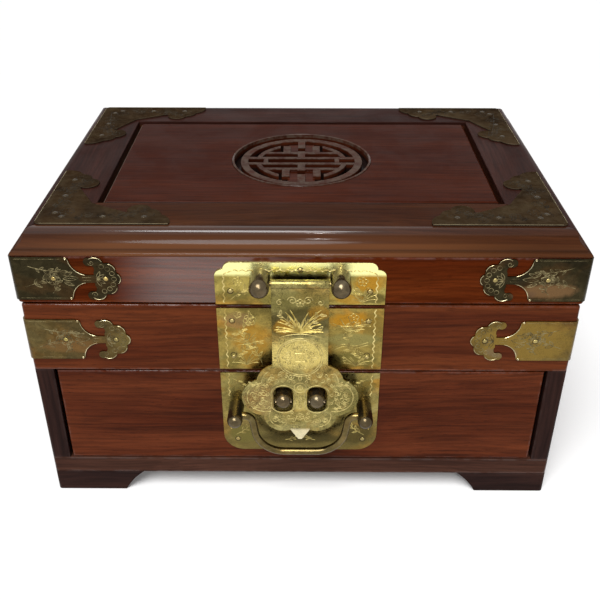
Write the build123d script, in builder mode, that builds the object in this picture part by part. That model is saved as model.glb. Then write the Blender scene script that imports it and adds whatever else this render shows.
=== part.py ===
from build123d import *
from math import asin, cos, degrees, radians, sin, sqrt
import os

# A wooden jewellery box: hinged lid with a pierced roundel, one drawer, bracket feet and brass fittings.
# Millimetres. X runs left to right, the front looks along -Y, Z is up and the feet stand on Z = 0.

os.makedirs("parts", exist_ok=True)

# Case
body_width = 302.0
body_depth = 209.3
board_thickness = 11.0
foot_height = 14.9
foot_arm = 55.0
foot_toe = 42.5
foot_hollow = 0.8
foot_thickness = 12.0
base_rail_height = 11.4
base_rail_width = 20.0
bottom_board_thickness = 5.0
drawer_opening_height = 66.5
front_board_height = 43.4
dust_board_thickness = 4.0
corner_round = 2.0
edge_round = 1.5

# Lid
lid_gap = 1.1
lid_overhang = 0.7
lid_wall_height = 28.6
top_rail_height = 12.4
top_rail_width = 39.35
liner_board_thickness = 3.0

# Moulding round the lid: heights above the lid wall and depths in from its face
bead_height = 2.3
bead_depth = 1.5
quirk_depth = 2.3
quirk_height = 3.1
cove_height = 8.8
cove_depth = 7.0
cove_hollow = 0.6
top_inset = 10.55
nosing_bulge = 0.8

# Panel and its tongue
groove_gap = 2.2
panel_drop = 0.4
panel_chamfer = 1.6
tongue_length = 5.0
tongue_thickness = 3.6
tongue_fit = 0.2
tongue_depth = 6.2

# Roundel set in the panel: bead, sunk moat, ring and a fret of bars and strokes
roundel_radius = 42.8
roundel_fit = 0.1
roundel_ledge_width = 4.0
roundel_ledge_thickness = 1.5
roundel_bead_width = 1.3
roundel_bead_rise = 0.3
moat_depth = 5.4
ring_radius = 37.5
ring_width = 4.5
fret_drop = 1.2
fret_web_drop = 2.6
fret_bar = 2.8
fret_bar_place = 4.5
outer_bar_place = 12.8
link_place = 22.0
arc_radius = 28.2
arc_width = 3.0
arc_end_place = 13.5
stroke_width = 4.6
side_stroke_place = 9.3
side_stroke_end = 24.5
stroke_break_start = 15.5
stroke_break_end = 21.5
web_half_width = 8.0
web_end = 30.0

# Drawer
drawer_side_gap = 1.7
drawer_top_gap = 1.2
drawer_run_gap = 0.3
drawer_recess = 0.5
drawer_front_thickness = 12.0
drawer_wall = 7.0
drawer_back_gap = 3.0
drawer_side_drop = 3.0
drawer_bottom_thickness = 3.0
drawer_bottom_rise = 3.0
drawer_groove_depth = 3.0
drawer_groove_fit = 0.1
drawer_front_chamfer = 0.5

# Lining and dividers
pad_thickness = 2.5
pad_margin = 1.0
lid_pad_thickness = 3.0
divider_thickness = 4.0
divider_height = 26.0
rear_cell_depth = 84.0

# Lock plates
plate_thickness = 1.0
plate_half_width = 45.3
lid_plate_margin = 0.3
lid_plate_height = 25.5
lid_plate_step = 4.6
lid_plate_step_height = 4.3
lid_plate_round = 4.0
drawer_plate_height = 57.2
drawer_plate_margin = 0.4
drawer_plate_round = 12.0

# Lid posts, their pin and the hasp that hangs on it: its cheeks are below its wings, and its lip below them
lid_post_place = 21.2
lid_post_radius = 5.35
lid_post_reach = 16.9
hasp_axis_height = 17.1
hasp_axis_reach = 6.9
hasp_pin_radius = 1.2
hasp_pin_fit = 0.05
hasp_barrel_radius = 2.4
hasp_side_gap = 0.6
hasp_thickness = 1.2
hasp_shoulder_radius = 11.7
hasp_shoulder_place = 12.5
hasp_shoulder_drop = 63.2
hasp_wing_radius = 13.1
hasp_wing_place = 19.8
hasp_wing_drop = 74.1
hasp_cheek_radius = 10.8
hasp_cheek_place = 9.8
hasp_cheek_fall = 13.5
hasp_lip_fall = 15.8
hasp_lip_half_width = 9.0
hasp_lip_radius = 22.0
hasp_lip_round = 1.0
hasp_curl_radius = 9.0
hasp_curl_angle = 42.0

# Staples that stand through the hasp a little below its wings' middle, bored for a lock bar
staple_place = 9.5
staple_drop = 1.3
staple_radius = 4.8
staple_reach = 13.8
staple_slot_gap = 0.8
staple_slot_height = 17.5
staple_slot_round = 4.5
lock_bore_radius = 1.5
lock_bore_setback = 3.1

# Bail handle and its posts, which stand below the middle of the hasp's wings
handle_post_place = 37.1
handle_post_drop = 13.3
handle_post_radius = 4.4
handle_post_reach = 17.4
bail_axis_reach = 8.5
bail_radius = 2.15
bail_fit = 0.05
bail_end_depth = 6.8
bail_bend_place = 27.9
bail_bend_radius = 5.0
bail_corner_place = 23.9
bail_corner_radius = 17.0
bail_drop = 26.8

# Corner straps: a band, a narrow neck and a cloud-shaped head whose lobes hook back over a round bay
strap_thickness = 0.8
strap_height = 26.0
strap_band_length = 28.4
strap_shoulder = 2.3
strap_throat_radius = 9.8
strap_neck_height = 4.6
strap_head_place = 43.3
strap_lobe_radius = 4.7
strap_lobe_place = 44.3
strap_cheek_radius = 4.7
strap_cheek_place = 50.3
strap_tip_radius = 3.9
strap_length = 57.3
strap_bay_radius = 3.2
strap_bay_place = 40.6
strap_bay_gap = 0.3
strap_hook_radius = 2.4
strap_hook_place = 41.0
strap_hook_drop = 0.4
lid_strap_drop = 13.1
body_strap_drop = 22.6
strap_band_nail = 21.4
strap_head_nail = 49.2

# Cloud-shaped plates on the four top corners, measured along one edge and in from it
corner_plate_thickness = 0.9
corner_plate_inset = 1.0
corner_plate_round = 3.0
corner_throat = 25.5
corner_neck_place = 45.5
corner_neck_width = 14.4
corner_hook_place = 52.8
corner_hook_width = 17.2
corner_hook_radius = 6.4
corner_cheek_place = 58.4
corner_cheek_width = 11.0
corner_cheek_radius = 7.2
corner_tip_place = 61.2
corner_tip_width = 2.4
corner_tip_radius = 10.0
corner_nail_start = 13.0
corner_nail_pitch = 22.0
corner_nail_inset = 8.5
corner_nail_count = 3

# Nail heads
nail_radius = 1.2
nail_height = 0.5
nail_inset = 8.2
lid_nail_drop = 4.4

# Rear hinges
hinge_strap_gap = 10.4
hinge_width = 40.0
hinge_leaf_height = 20.0
hinge_leaf_thickness = 1.2
hinge_screw_pitch = 26.0
knuckle_radius = 2.4
knuckle_gap = 0.3
hinge_pin_radius = 1.2
hinge_pin_fit = 0.05

# Levels worked out from the sizes above
rail_top = foot_height + base_rail_height
front_board_low = rail_top + drawer_opening_height
body_top = front_board_low + front_board_height
compartment_floor = front_board_low + dust_board_thickness
lid_low = body_top + lid_gap
lid_wall_top = lid_low + lid_wall_height
lid_top = lid_wall_top + top_rail_height
panel_top = lid_top - panel_drop

# The origin is under the middle of the whole box, fittings included
lid_post_front = lid_overhang + plate_thickness + lid_post_reach
handle_post_front = plate_thickness - drawer_recess + handle_post_reach
front_reach = max(lid_post_front, handle_post_front)
hinge_axis_offset = lid_overhang + knuckle_gap + knuckle_radius
back_reach = hinge_axis_offset + knuckle_radius
front_face = (front_reach - body_depth - back_reach) / 2
back_face = front_face + body_depth
lid_front = front_face - lid_overhang
lid_back = back_face + lid_overhang
half_width = body_width / 2
lid_half_width = half_width + lid_overhang
inner_half_width = half_width - board_thickness
inner_front = front_face + board_thickness
inner_back = back_face - board_thickness
drawer_face = front_face + drawer_recess
drawer_plate_face = drawer_face - plate_thickness
hinge_axis_y = back_face + hinge_axis_offset
hinge_axis_z = body_top + lid_gap / 2
hasp_axis_y = lid_front - plate_thickness - hasp_axis_reach
hasp_axis_z = lid_low + hasp_axis_height
bail_axis_y = drawer_plate_face - bail_axis_reach
hasp_wing_height = hasp_axis_z - hasp_wing_drop
hasp_cheek_drop = hasp_wing_drop + hasp_cheek_fall
hasp_length = hasp_cheek_drop + hasp_lip_fall
staple_height = hasp_wing_height - staple_drop
handle_post_height = hasp_wing_height - handle_post_drop
hinge_place = lid_half_width - strap_length - hinge_strap_gap - hinge_width / 2

side_names = {-1: "left", 1: "right"}
end_names = {-1: "front", 1: "rear"}
end_faces = {-1: front_face, 1: back_face}
lid_end_faces = {-1: lid_front, 1: lid_back}
up = Vector(0, 0, 1)


def save(piece, name):
    piece.part.label = name
    export_step(piece.part, f"parts/{name}.step")


def board(x_span, y_span, z_span):
    # A squared board between two planes on each axis
    with BuildPart() as piece:
        with BuildSketch(Plane.XY.offset(z_span[0])):
            with Locations(((x_span[0] + x_span[1]) / 2, (y_span[0] + y_span[1]) / 2)):
                Rectangle(abs(x_span[1] - x_span[0]), abs(y_span[1] - y_span[0]))
        extrude(amount=z_span[1] - z_span[0])
    return piece


def upright_edges(piece, outer_y, outer_x):
    # The upright edges of a piece that stand on its outer corners
    edges = ShapeList()
    for edge in piece.edges().filter_by(Axis.Z):
        middle = edge.center()
        on_corner = abs(middle.Y - outer_y) < corner_round and abs(middle.X) > outer_x - corner_round
        if on_corner:
            edges.append(edge)
    return edges


def level_edges(piece, level, outer_x, outer_y):
    # The edges at one level that lie on the outer faces
    edges = ShapeList()
    for edge in piece.edges():
        middle = edge.center()
        at_level = abs(middle.Z - level) < edge_round / 2
        outside = abs(middle.X) > outer_x - edge_round / 2 or abs(middle.Y - outer_y) < edge_round / 2
        flat = abs(edge.tangent_at(0.5).Z) < 0.5
        if at_level and outside and flat:
            edges.append(edge)
    return edges


def end_board(x_half, outer_y, inner_y, z_span, eased_level=None):
    # A full-width board with its outer upright corners rounded, and one outer edge eased
    with BuildPart() as piece:
        add(board((-x_half, x_half), (outer_y, inner_y), z_span).part)
        fillet(upright_edges(piece, outer_y, x_half), corner_round)
        if eased_level is not None:
            fillet(level_edges(piece, eased_level, x_half, outer_y), edge_round)
    return piece


def side_wall(side, x_half, y_span, z_span, eased_level):
    # A side board, with its outer edge at one level eased
    with BuildPart() as piece:
        add(board((side * x_half, side * (x_half - board_thickness)), y_span, z_span).part)
        outer_edges = piece.edges().filter_by(Axis.Y).sort_by(lambda edge: abs(edge.center().X))[-2:]
        eased_edge = outer_edges.sort_by(lambda edge: abs(edge.center().Z - eased_level))[0]
        fillet(eased_edge, edge_round)
    return piece


# Bracket feet, one under each corner, each of two arms that slope in towards the floor
for side, side_name in side_names.items():
    for end, end_name in end_names.items():
        corner = Vector(side * half_width, end_faces[end], 0)
        across = Vector(-side, 0, 0)
        inward = Vector(0, -end, 0)
        with BuildPart() as foot:
            for along, depth_way in ((across, inward), (inward, across)):
                with BuildSketch(Plane(corner, x_dir=along, z_dir=along.cross(up))):
                    with BuildLine():
                        Polyline((foot_arm, foot_height), (0, foot_height), (0, 0), (foot_toe, 0))
                        slope_middle = (foot_toe + foot_arm) / 2 - foot_hollow
                        ThreePointArc(
                            (foot_toe, 0),
                            (slope_middle, foot_height / 2 + foot_hollow),
                            (foot_arm, foot_height),
                        )
                    make_face()
                extrude(amount=foot_thickness, dir=depth_way)
            fillet(upright_edges(foot, end_faces[end], half_width), corner_round)
        save(foot, f"foot_{end_name}_{side_name}")

# Base frame: front and rear rails run the full width, and the side rails stand between them
base_levels = (foot_height, rail_top)
base_inner = (front_face + base_rail_width, back_face - base_rail_width)
for end, end_name in end_names.items():
    rail_inner = end_faces[end] - end * base_rail_width
    save(end_board(half_width, end_faces[end], rail_inner, base_levels), f"base_rail_{end_name}")
for side, side_name in side_names.items():
    rail_span = (side * half_width, side * (half_width - base_rail_width))
    save(board(rail_span, base_inner, base_levels), f"base_rail_{side_name}")

# Bottom board, flush with the top of the rails, on which the drawer runs
bottom_half_width = half_width - base_rail_width
bottom_board_levels = (rail_top - bottom_board_thickness, rail_top)
save(board((-bottom_half_width, bottom_half_width), base_inner, bottom_board_levels), "bottom_board")

# Walls of the case
front_levels = (front_board_low, body_top)
case_levels = (rail_top, body_top)
save(end_board(half_width, front_face, inner_front, front_levels, body_top), "front_board")
save(end_board(half_width, back_face, inner_back, case_levels, body_top), "back_board")
for side, side_name in side_names.items():
    side_board = side_wall(side, half_width, (inner_front, inner_back), case_levels, body_top)
    save(side_board, f"side_board_{side_name}")
    with BuildPart() as stile:
        stile_span = (side * half_width, side * inner_half_width)
        add(board(stile_span, (front_face, inner_front), (rail_top, front_board_low)).part)
        fillet(upright_edges(stile, front_face, half_width), corner_round)
    save(stile, f"stile_{side_name}")

# Dust board between the drawer and the compartment
inner_width = (-inner_half_width, inner_half_width)
save(board(inner_width, (inner_front, inner_back), (front_board_low, compartment_floor)), "dust_board")

# Dividers: one strip along the box, and two across in front of it
divider_levels = (compartment_floor, compartment_floor + divider_height)
long_divider = (inner_back - rear_cell_depth - divider_thickness, inner_back - rear_cell_depth)
cell_pitch = (2 * inner_half_width + divider_thickness) / 3
with BuildPart() as dividers:
    add(board(inner_width, long_divider, divider_levels).part)
    for side in (-1, 1):
        strip_middle = side * cell_pitch / 2
        strip = (strip_middle - divider_thickness / 2, strip_middle + divider_thickness / 2)
        add(board(strip, (inner_front, long_divider[0]), divider_levels).part)
save(dividers, "dividers")

# Lining pads on the compartment floor, one in each cell
pad_levels = (compartment_floor, compartment_floor + pad_thickness)
cell_half_width = (cell_pitch - divider_thickness) / 2 - pad_margin
front_cell = (inner_front + pad_margin, long_divider[0] - pad_margin)
rear_cell = (long_divider[1] + pad_margin, inner_back - pad_margin)
rear_cell_half = inner_half_width - pad_margin
with BuildPart() as cell_pads:
    for place in (-1, 0, 1):
        cell_span = (place * cell_pitch - cell_half_width, place * cell_pitch + cell_half_width)
        add(board(cell_span, front_cell, pad_levels).part)
    add(board((-rear_cell_half, rear_cell_half), rear_cell, pad_levels).part)
save(cell_pads, "cell_pads")

# Walls of the lid
lid_levels = (lid_low, lid_wall_top)
lid_inner_half = lid_half_width - board_thickness
lid_inner_span = (lid_front + board_thickness, lid_back - board_thickness)
for end, end_name in end_names.items():
    wall_inner = lid_end_faces[end] - end * board_thickness
    lid_wall = end_board(lid_half_width, lid_end_faces[end], wall_inner, lid_levels, lid_low)
    save(lid_wall, f"lid_wall_{end_name}")
for side, side_name in side_names.items():
    save(side_wall(side, lid_half_width, lid_inner_span, lid_levels, lid_low), f"lid_wall_{side_name}")

# Section of the moulded top rails, drawn from the lid's face inwards and up from the lid wall
tongue_low = top_rail_height - panel_drop - tongue_depth - tongue_thickness
tongue_high = tongue_low + tongue_thickness
slot_depth = tongue_length + tongue_fit
with BuildSketch() as rail_section:
    with BuildLine():
        Polyline(
            (0, 0),
            (top_rail_width, 0),
            (top_rail_width, tongue_low - tongue_fit),
            (top_rail_width - slot_depth, tongue_low - tongue_fit),
            (top_rail_width - slot_depth, tongue_high + tongue_fit),
            (top_rail_width, tongue_high + tongue_fit),
            (top_rail_width, top_rail_height),
            (top_inset, top_rail_height),
        )
        nosing_middle = ((cove_depth + top_inset) / 2, (cove_height + top_rail_height) / 2)
        ThreePointArc(
            (top_inset, top_rail_height),
            (nosing_middle[0] - nosing_bulge, nosing_middle[1] + nosing_bulge),
            (cove_depth, cove_height),
        )
        cove_middle = ((quirk_depth + cove_depth) / 2, (quirk_height + cove_height) / 2)
        ThreePointArc(
            (cove_depth, cove_height),
            (cove_middle[0] + cove_hollow, cove_middle[1] - cove_hollow),
            (quirk_depth, quirk_height),
        )
        Polyline((quirk_depth, quirk_height), (quirk_depth, bead_height), (bead_depth, bead_height))
        bead_middle = (bead_depth * (1 - sqrt(0.5)), bead_height * sqrt(0.5))
        ThreePointArc((bead_depth, bead_height), bead_middle, (0, 0))
    make_face()

# Each top rail is that section run along one side and mitred at both ends
lid_depth = lid_back - lid_front
lid_middle = (lid_front + lid_back) / 2
rail_sides = {
    "front": (Vector(0, lid_front, lid_wall_top), Vector(0, 1, 0), 2 * lid_half_width),
    "rear": (Vector(0, lid_back, lid_wall_top), Vector(0, -1, 0), 2 * lid_half_width),
    "left": (Vector(-lid_half_width, lid_middle, lid_wall_top), Vector(1, 0, 0), lid_depth),
    "right": (Vector(lid_half_width, lid_middle, lid_wall_top), Vector(-1, 0, 0), lid_depth),
}
for rail_name, (rail_origin, rail_inward, rail_length) in rail_sides.items():
    rail_along = rail_inward.cross(up)
    inner_length = rail_length / 2 - top_rail_width
    with BuildPart() as top_rail:
        with BuildSketch(Plane(rail_origin, x_dir=rail_inward, z_dir=rail_along)):
            add(rail_section.sketch)
        extrude(amount=rail_length / 2, both=True)
        with BuildSketch(Plane(rail_origin, x_dir=rail_along, z_dir=up)):
            with BuildLine():
                Polyline(
                    (-rail_length / 2, 0),
                    (rail_length / 2, 0),
                    (inner_length, top_rail_width),
                    (-inner_length, top_rail_width),
                    close=True,
                )
            make_face()
        extrude(amount=top_rail_height, mode=Mode.INTERSECT)
    save(top_rail, f"top_rail_{rail_name}")

# Panel that floats in the rails on a tongue, with a stepped round opening for the roundel
panel_half_width = lid_half_width - top_rail_width - groove_gap
panel_half_depth = lid_depth / 2 - top_rail_width - groove_gap
tongue_reach = groove_gap + tongue_length
tongue_base = lid_wall_top + tongue_low
ledge_top = tongue_base + roundel_ledge_thickness
panel_centre = (0, lid_middle)
with BuildPart() as top_panel:
    with BuildSketch(Plane.XY.offset(tongue_base)):
        with Locations(panel_centre):
            Rectangle(2 * (panel_half_width + tongue_reach), 2 * (panel_half_depth + tongue_reach))
    extrude(amount=tongue_thickness)
    with BuildSketch(Plane.XY.offset(tongue_base)):
        with Locations(panel_centre):
            Rectangle(2 * panel_half_width, 2 * panel_half_depth)
    extrude(amount=panel_top - tongue_base)
    chamfer(top_panel.faces().sort_by(Axis.Z)[-1].edges(), panel_chamfer)
    with BuildSketch(Plane.XY.offset(tongue_base)):
        with Locations(panel_centre):
            Circle(roundel_radius - roundel_ledge_width)
    extrude(amount=panel_top - tongue_base, mode=Mode.SUBTRACT)
    with BuildSketch(Plane.XY.offset(ledge_top)):
        with Locations(panel_centre):
            Circle(roundel_radius + roundel_fit)
    extrude(amount=panel_top - ledge_top, mode=Mode.SUBTRACT)
save(top_panel, "top_panel")

# Fret inside the roundel's ring
ring_inner = ring_radius - ring_width
arc_middle_radius = arc_radius - arc_width / 2
outer_bar_half = sqrt(arc_middle_radius**2 - outer_bar_place**2)
stroke_outer_end = ring_inner + ring_width / 2
with BuildSketch() as fret:
    Circle(arc_radius)
    Circle(arc_radius - arc_width, mode=Mode.SUBTRACT)
    Rectangle(2 * arc_end_place, 2 * arc_radius, mode=Mode.SUBTRACT)
    Rectangle(2 * arc_radius, 2 * fret_bar_place, mode=Mode.SUBTRACT)
    for way in (-1, 1):
        with Locations((0, way * fret_bar_place)):
            Rectangle(2 * ring_inner + fret_bar, fret_bar)
        with Locations((0, way * outer_bar_place)):
            Rectangle(2 * outer_bar_half, fret_bar)
        with Locations((way * link_place, 0)):
            Rectangle(fret_bar, 2 * fret_bar_place)
        with Locations((0, way * (fret_bar_place + stroke_break_start) / 2)):
            Rectangle(stroke_width, stroke_break_start - fret_bar_place)
        with Locations((0, way * (stroke_break_end + stroke_outer_end) / 2)):
            Rectangle(stroke_width, stroke_outer_end - stroke_break_end)
        for side in (-1, 1):
            with Locations((side * side_stroke_place, way * (outer_bar_place + side_stroke_end) / 2)):
                Rectangle(stroke_width, side_stroke_end - outer_bar_place)

# Thinner web that joins the strokes, open between the two middle strokes
with BuildSketch() as fret_web:
    for way in (-1, 1):
        with Locations((0, way * (outer_bar_place + web_end) / 2)):
            Rectangle(2 * web_half_width, web_end - outer_bar_place)
        with Locations((0, way * (stroke_break_start + stroke_break_end) / 2)):
            Rectangle(stroke_width, stroke_break_end - stroke_break_start, mode=Mode.SUBTRACT)

moat_floor = panel_top - moat_depth
with BuildPart() as fret_roundel:
    with BuildSketch(Plane.XY.offset(ledge_top)):
        with Locations(panel_centre):
            Circle(roundel_radius)
            Circle(ring_inner, mode=Mode.SUBTRACT)
    extrude(amount=moat_floor - ledge_top)
    with BuildSketch(Plane.XY.offset(moat_floor)):
        with Locations(panel_centre):
            Circle(roundel_radius)
            Circle(roundel_radius - roundel_bead_width, mode=Mode.SUBTRACT)
    extrude(amount=panel_top + roundel_bead_rise - moat_floor)
    with BuildSketch(Plane.XY.offset(ledge_top)):
        with Locations(panel_centre):
            Circle(ring_radius)
            Circle(ring_inner, mode=Mode.SUBTRACT)
            add(fret.sketch)
    extrude(amount=panel_top - fret_drop - ledge_top)
    with BuildSketch(Plane.XY.offset(ledge_top)):
        with Locations(panel_centre):
            add(fret_web.sketch)
    extrude(amount=panel_top - fret_web_drop - ledge_top)
save(fret_roundel, "fret_roundel")

# Liner board that closes the lid from below, and its pad
liner_low = lid_wall_top - liner_board_thickness
liner_span = (-lid_inner_half, lid_inner_half)
save(board(liner_span, lid_inner_span, (liner_low, lid_wall_top)), "lid_liner")
lid_pad_half = lid_inner_half - pad_margin
lid_pad_span = (lid_inner_span[0] + pad_margin, lid_inner_span[1] - pad_margin)
lid_pad_levels = (liner_low - lid_pad_thickness, liner_low)
save(board((-lid_pad_half, lid_pad_half), lid_pad_span, lid_pad_levels), "lid_pad")

# Drawer front, grooved behind for the drawer's bottom
drawer_low = rail_top + drawer_run_gap
drawer_high = front_board_low - drawer_top_gap
drawer_half = inner_half_width - drawer_side_gap
drawer_inner_half = drawer_half - drawer_wall
drawer_inner_front = drawer_face + drawer_front_thickness
drawer_end = inner_back - drawer_back_gap
side_high = drawer_high - drawer_side_drop
groove_low = drawer_low + drawer_bottom_rise
groove_high = groove_low + drawer_bottom_thickness + 2 * drawer_groove_fit
groove_half = drawer_inner_half + drawer_groove_depth
front_groove = (drawer_inner_front - drawer_groove_depth, drawer_inner_front)
with BuildPart() as drawer_front:
    add(board((-drawer_half, drawer_half), (drawer_face, drawer_inner_front), (drawer_low, drawer_high)).part)
    add(board((-groove_half, groove_half), front_groove, (groove_low, groove_high)).part, mode=Mode.SUBTRACT)
    chamfer(drawer_front.faces().sort_by(Axis.Y)[0].edges(), drawer_front_chamfer)
save(drawer_front, "drawer_front")

# Drawer sides with their grooves, back, bottom and pad
for side, side_name in side_names.items():
    with BuildPart() as drawer_side:
        wall_span = (side * drawer_half, side * drawer_inner_half)
        groove_span = (side * drawer_inner_half, side * groove_half)
        add(board(wall_span, (drawer_inner_front, drawer_end), (drawer_low, side_high)).part)
        groove = board(groove_span, (drawer_inner_front, drawer_end), (groove_low, groove_high))
        add(groove.part, mode=Mode.SUBTRACT)
    save(drawer_side, f"drawer_side_{side_name}")
back_span = (-drawer_inner_half, drawer_inner_half)
drawer_back_face = drawer_end - drawer_wall
save(board(back_span, (drawer_back_face, drawer_end), (groove_high, side_high)), "drawer_back")
bottom_half = groove_half - drawer_groove_fit
bottom_low = groove_low + drawer_groove_fit
bottom_high = bottom_low + drawer_bottom_thickness
bottom_span = (front_groove[0] + drawer_groove_fit, drawer_end)
save(board((-bottom_half, bottom_half), bottom_span, (bottom_low, bottom_high)), "drawer_bottom")
drawer_pad_half = drawer_inner_half - pad_margin
drawer_pad_span = (drawer_inner_front + pad_margin, drawer_back_face - pad_margin)
drawer_pad_levels = (bottom_high, bottom_high + pad_thickness)
save(board((-drawer_pad_half, drawer_pad_half), drawer_pad_span, drawer_pad_levels), "drawer_pad")

# Lock plate on the lid, with a stepped round at each upper corner
lid_plate_low = lid_low + lid_plate_margin
lid_plate_high = lid_plate_low + lid_plate_height
lid_plate_tiers = (
    (plate_half_width, lid_plate_high - lid_plate_step_height),
    (plate_half_width - lid_plate_step, lid_plate_high),
)
with BuildPart() as lid_plate:
    for tier_half, tier_high in lid_plate_tiers:
        with BuildSketch(Plane.XZ.offset(-lid_front)):
            with Locations((0, (lid_plate_low + tier_high) / 2)):
                tier = Rectangle(2 * tier_half, tier_high - lid_plate_low)
            fillet(tier.vertices().group_by(Axis.Y)[-1], lid_plate_round)
        extrude(amount=plate_thickness)
save(lid_plate, "lid_plate")

# Lock plate on the front board, clear of its eased edge
mid_plate_levels = (front_board_low + edge_round, body_top - edge_round)
mid_plate_span = (-plate_half_width, plate_half_width)
save(board(mid_plate_span, (front_face - plate_thickness, front_face), mid_plate_levels), "mid_plate")

# Lock plate on the drawer, with round lower corners
drawer_plate_high = drawer_high - drawer_plate_margin
drawer_plate_low = drawer_plate_high - drawer_plate_height
with BuildPart() as drawer_plate:
    add(board(mid_plate_span, (drawer_plate_face, drawer_face), (drawer_plate_low, drawer_plate_high)).part)
    fillet(drawer_plate.edges().filter_by(Axis.Y).sort_by(Axis.Z)[:2], drawer_plate_round)
save(drawer_plate, "drawer_plate")


def post(place, height, root_y, radius, reach):
    # A straight post with a domed end that stands out from its plate
    with BuildPart() as piece:
        with BuildSketch(Plane.XZ.offset(-root_y)):
            with Locations((place, height)):
                Circle(radius)
        extrude(amount=reach - radius)
        with Locations((place, root_y - reach + radius, height)):
            Sphere(radius)
    return piece


def cross_rod(axis_y, axis_z, radius, half_length):
    # A round rod that lies across the box
    with BuildPart() as piece:
        with BuildSketch(Plane.YZ):
            with Locations((axis_y, axis_z)):
                Circle(radius)
        extrude(amount=half_length, both=True)
    return piece


# Posts on the lid plate, and the pin that joins them
lid_plate_face = lid_front - plate_thickness
hasp_pin = cross_rod(hasp_axis_y, hasp_axis_z, hasp_pin_radius, lid_post_place)
with BuildPart() as lid_posts:
    for side in side_names:
        add(post(side * lid_post_place, hasp_axis_z, lid_plate_face, lid_post_radius, lid_post_reach).part)
    add(hasp_pin.part, mode=Mode.SUBTRACT)
save(lid_posts, "lid_posts")
save(hasp_pin, "hasp_pin")

# Pointed lip of the hasp, between two arcs
hasp_lip_offset = hasp_lip_radius - hasp_lip_half_width
hasp_lip_height = hasp_axis_z - hasp_length + sqrt(hasp_lip_radius**2 - hasp_lip_offset**2)
with BuildSketch() as hasp_lip:
    with Locations((hasp_lip_offset, hasp_lip_height)):
        Circle(hasp_lip_radius)
    with Locations((-hasp_lip_offset, hasp_lip_height)):
        Circle(hasp_lip_radius, mode=Mode.INTERSECT)
    fillet(hasp_lip.vertices().sort_by(Axis.Y)[0], hasp_lip_round)

# Hasp: a strap from the barrel that widens into a cloud-shaped head, with its lip curled forward
hasp_half_width = lid_post_place - lid_post_radius - hasp_side_gap
hasp_rear = hasp_axis_y + hasp_thickness / 2
hasp_front = hasp_axis_y - hasp_thickness / 2
curl = radians(hasp_curl_angle)
curl_outer = hasp_curl_radius + hasp_thickness
curl_centre_y = hasp_front - hasp_curl_radius
curl_centre_z = hasp_axis_z - hasp_length + curl_outer * sin(curl)
slot_width = 2 * (staple_radius + staple_slot_gap)
with BuildPart() as hasp:
    with BuildSketch(Plane.YZ):
        with BuildLine():
            CenterArc((curl_centre_y, curl_centre_z), hasp_curl_radius, 0, -hasp_curl_angle)
            CenterArc((curl_centre_y, curl_centre_z), curl_outer, 0, -hasp_curl_angle)
            Line(
                (curl_centre_y + hasp_curl_radius * cos(curl), curl_centre_z - hasp_curl_radius * sin(curl)),
                (curl_centre_y + curl_outer * cos(curl), curl_centre_z - curl_outer * sin(curl)),
            )
            Polyline(
                (hasp_front, curl_centre_z),
                (hasp_front, hasp_axis_z),
                (hasp_rear, hasp_axis_z),
                (hasp_rear, curl_centre_z),
            )
        make_face()
    extrude(amount=hasp_wing_place + hasp_wing_radius, both=True)
    with BuildSketch(Plane.XZ.offset(-hasp_rear)):
        with Locations((0, hasp_axis_z - hasp_shoulder_drop / 2)):
            Rectangle(2 * hasp_half_width, hasp_shoulder_drop)
        for side in side_names:
            with Locations((side * hasp_shoulder_place, hasp_axis_z - hasp_shoulder_drop)):
                Circle(hasp_shoulder_radius)
            with Locations((side * hasp_wing_place, hasp_wing_height)):
                Circle(hasp_wing_radius)
            with Locations((side * hasp_cheek_place, hasp_axis_z - hasp_cheek_drop)):
                Circle(hasp_cheek_radius)
        with Locations((0, hasp_axis_z - (hasp_shoulder_drop + hasp_cheek_drop) / 2)):
            Rectangle(2 * hasp_cheek_place, hasp_cheek_drop - hasp_shoulder_drop)
        add(hasp_lip.sketch)
        with Locations((staple_place, staple_height), (-staple_place, staple_height)):
            RectangleRounded(slot_width, staple_slot_height, staple_slot_round, mode=Mode.SUBTRACT)
    extrude(amount=curl_outer, mode=Mode.INTERSECT)
    add(cross_rod(hasp_axis_y, hasp_axis_z, hasp_barrel_radius, hasp_half_width).part)
    hasp_bore = cross_rod(hasp_axis_y, hasp_axis_z, hasp_pin_radius + hasp_pin_fit, hasp_half_width)
    add(hasp_bore.part, mode=Mode.SUBTRACT)
save(hasp, "hasp")

# Staples on the drawer plate, bored across for a lock bar
lock_bore_y = drawer_plate_face - staple_reach + lock_bore_setback
with BuildPart() as staples:
    for side in side_names:
        add(post(side * staple_place, staple_height, drawer_plate_face, staple_radius, staple_reach).part)
    lock_bore = cross_rod(lock_bore_y, staple_height, lock_bore_radius, staple_place + staple_radius)
    add(lock_bore.part, mode=Mode.SUBTRACT)
save(staples, "staples")

# Handle posts, bored from their inner sides for the bail's ends
bail_end = handle_post_place - handle_post_radius + bail_end_depth
handle_bore = cross_rod(bail_axis_y, handle_post_height, bail_radius + bail_fit, bail_end + bail_fit)
with BuildPart() as handle_posts:
    for side in side_names:
        place = side * handle_post_place
        add(post(place, handle_post_height, drawer_plate_face, handle_post_radius, handle_post_reach).part)
    add(handle_bore.part, mode=Mode.SUBTRACT)
save(handle_posts, "handle_posts")

# Bail: one bent rod that pivots in the handle posts
bail_low = handle_post_height - bail_drop
with BuildPart() as bail:
    with BuildLine(Plane.XZ.offset(-bail_axis_y)) as bail_path:
        FilletPolyline(
            (-bail_end, handle_post_height),
            (-bail_bend_place, handle_post_height),
            (-bail_corner_place, bail_low),
            (bail_corner_place, bail_low),
            (bail_bend_place, handle_post_height),
            (bail_end, handle_post_height),
            radius=[bail_bend_radius, bail_corner_radius, bail_corner_radius, bail_bend_radius],
        )
    with BuildSketch(Plane(bail_path.line @ 0, z_dir=bail_path.line % 0)):
        Circle(bail_radius)
    sweep()
save(bail, "bail")

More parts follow.
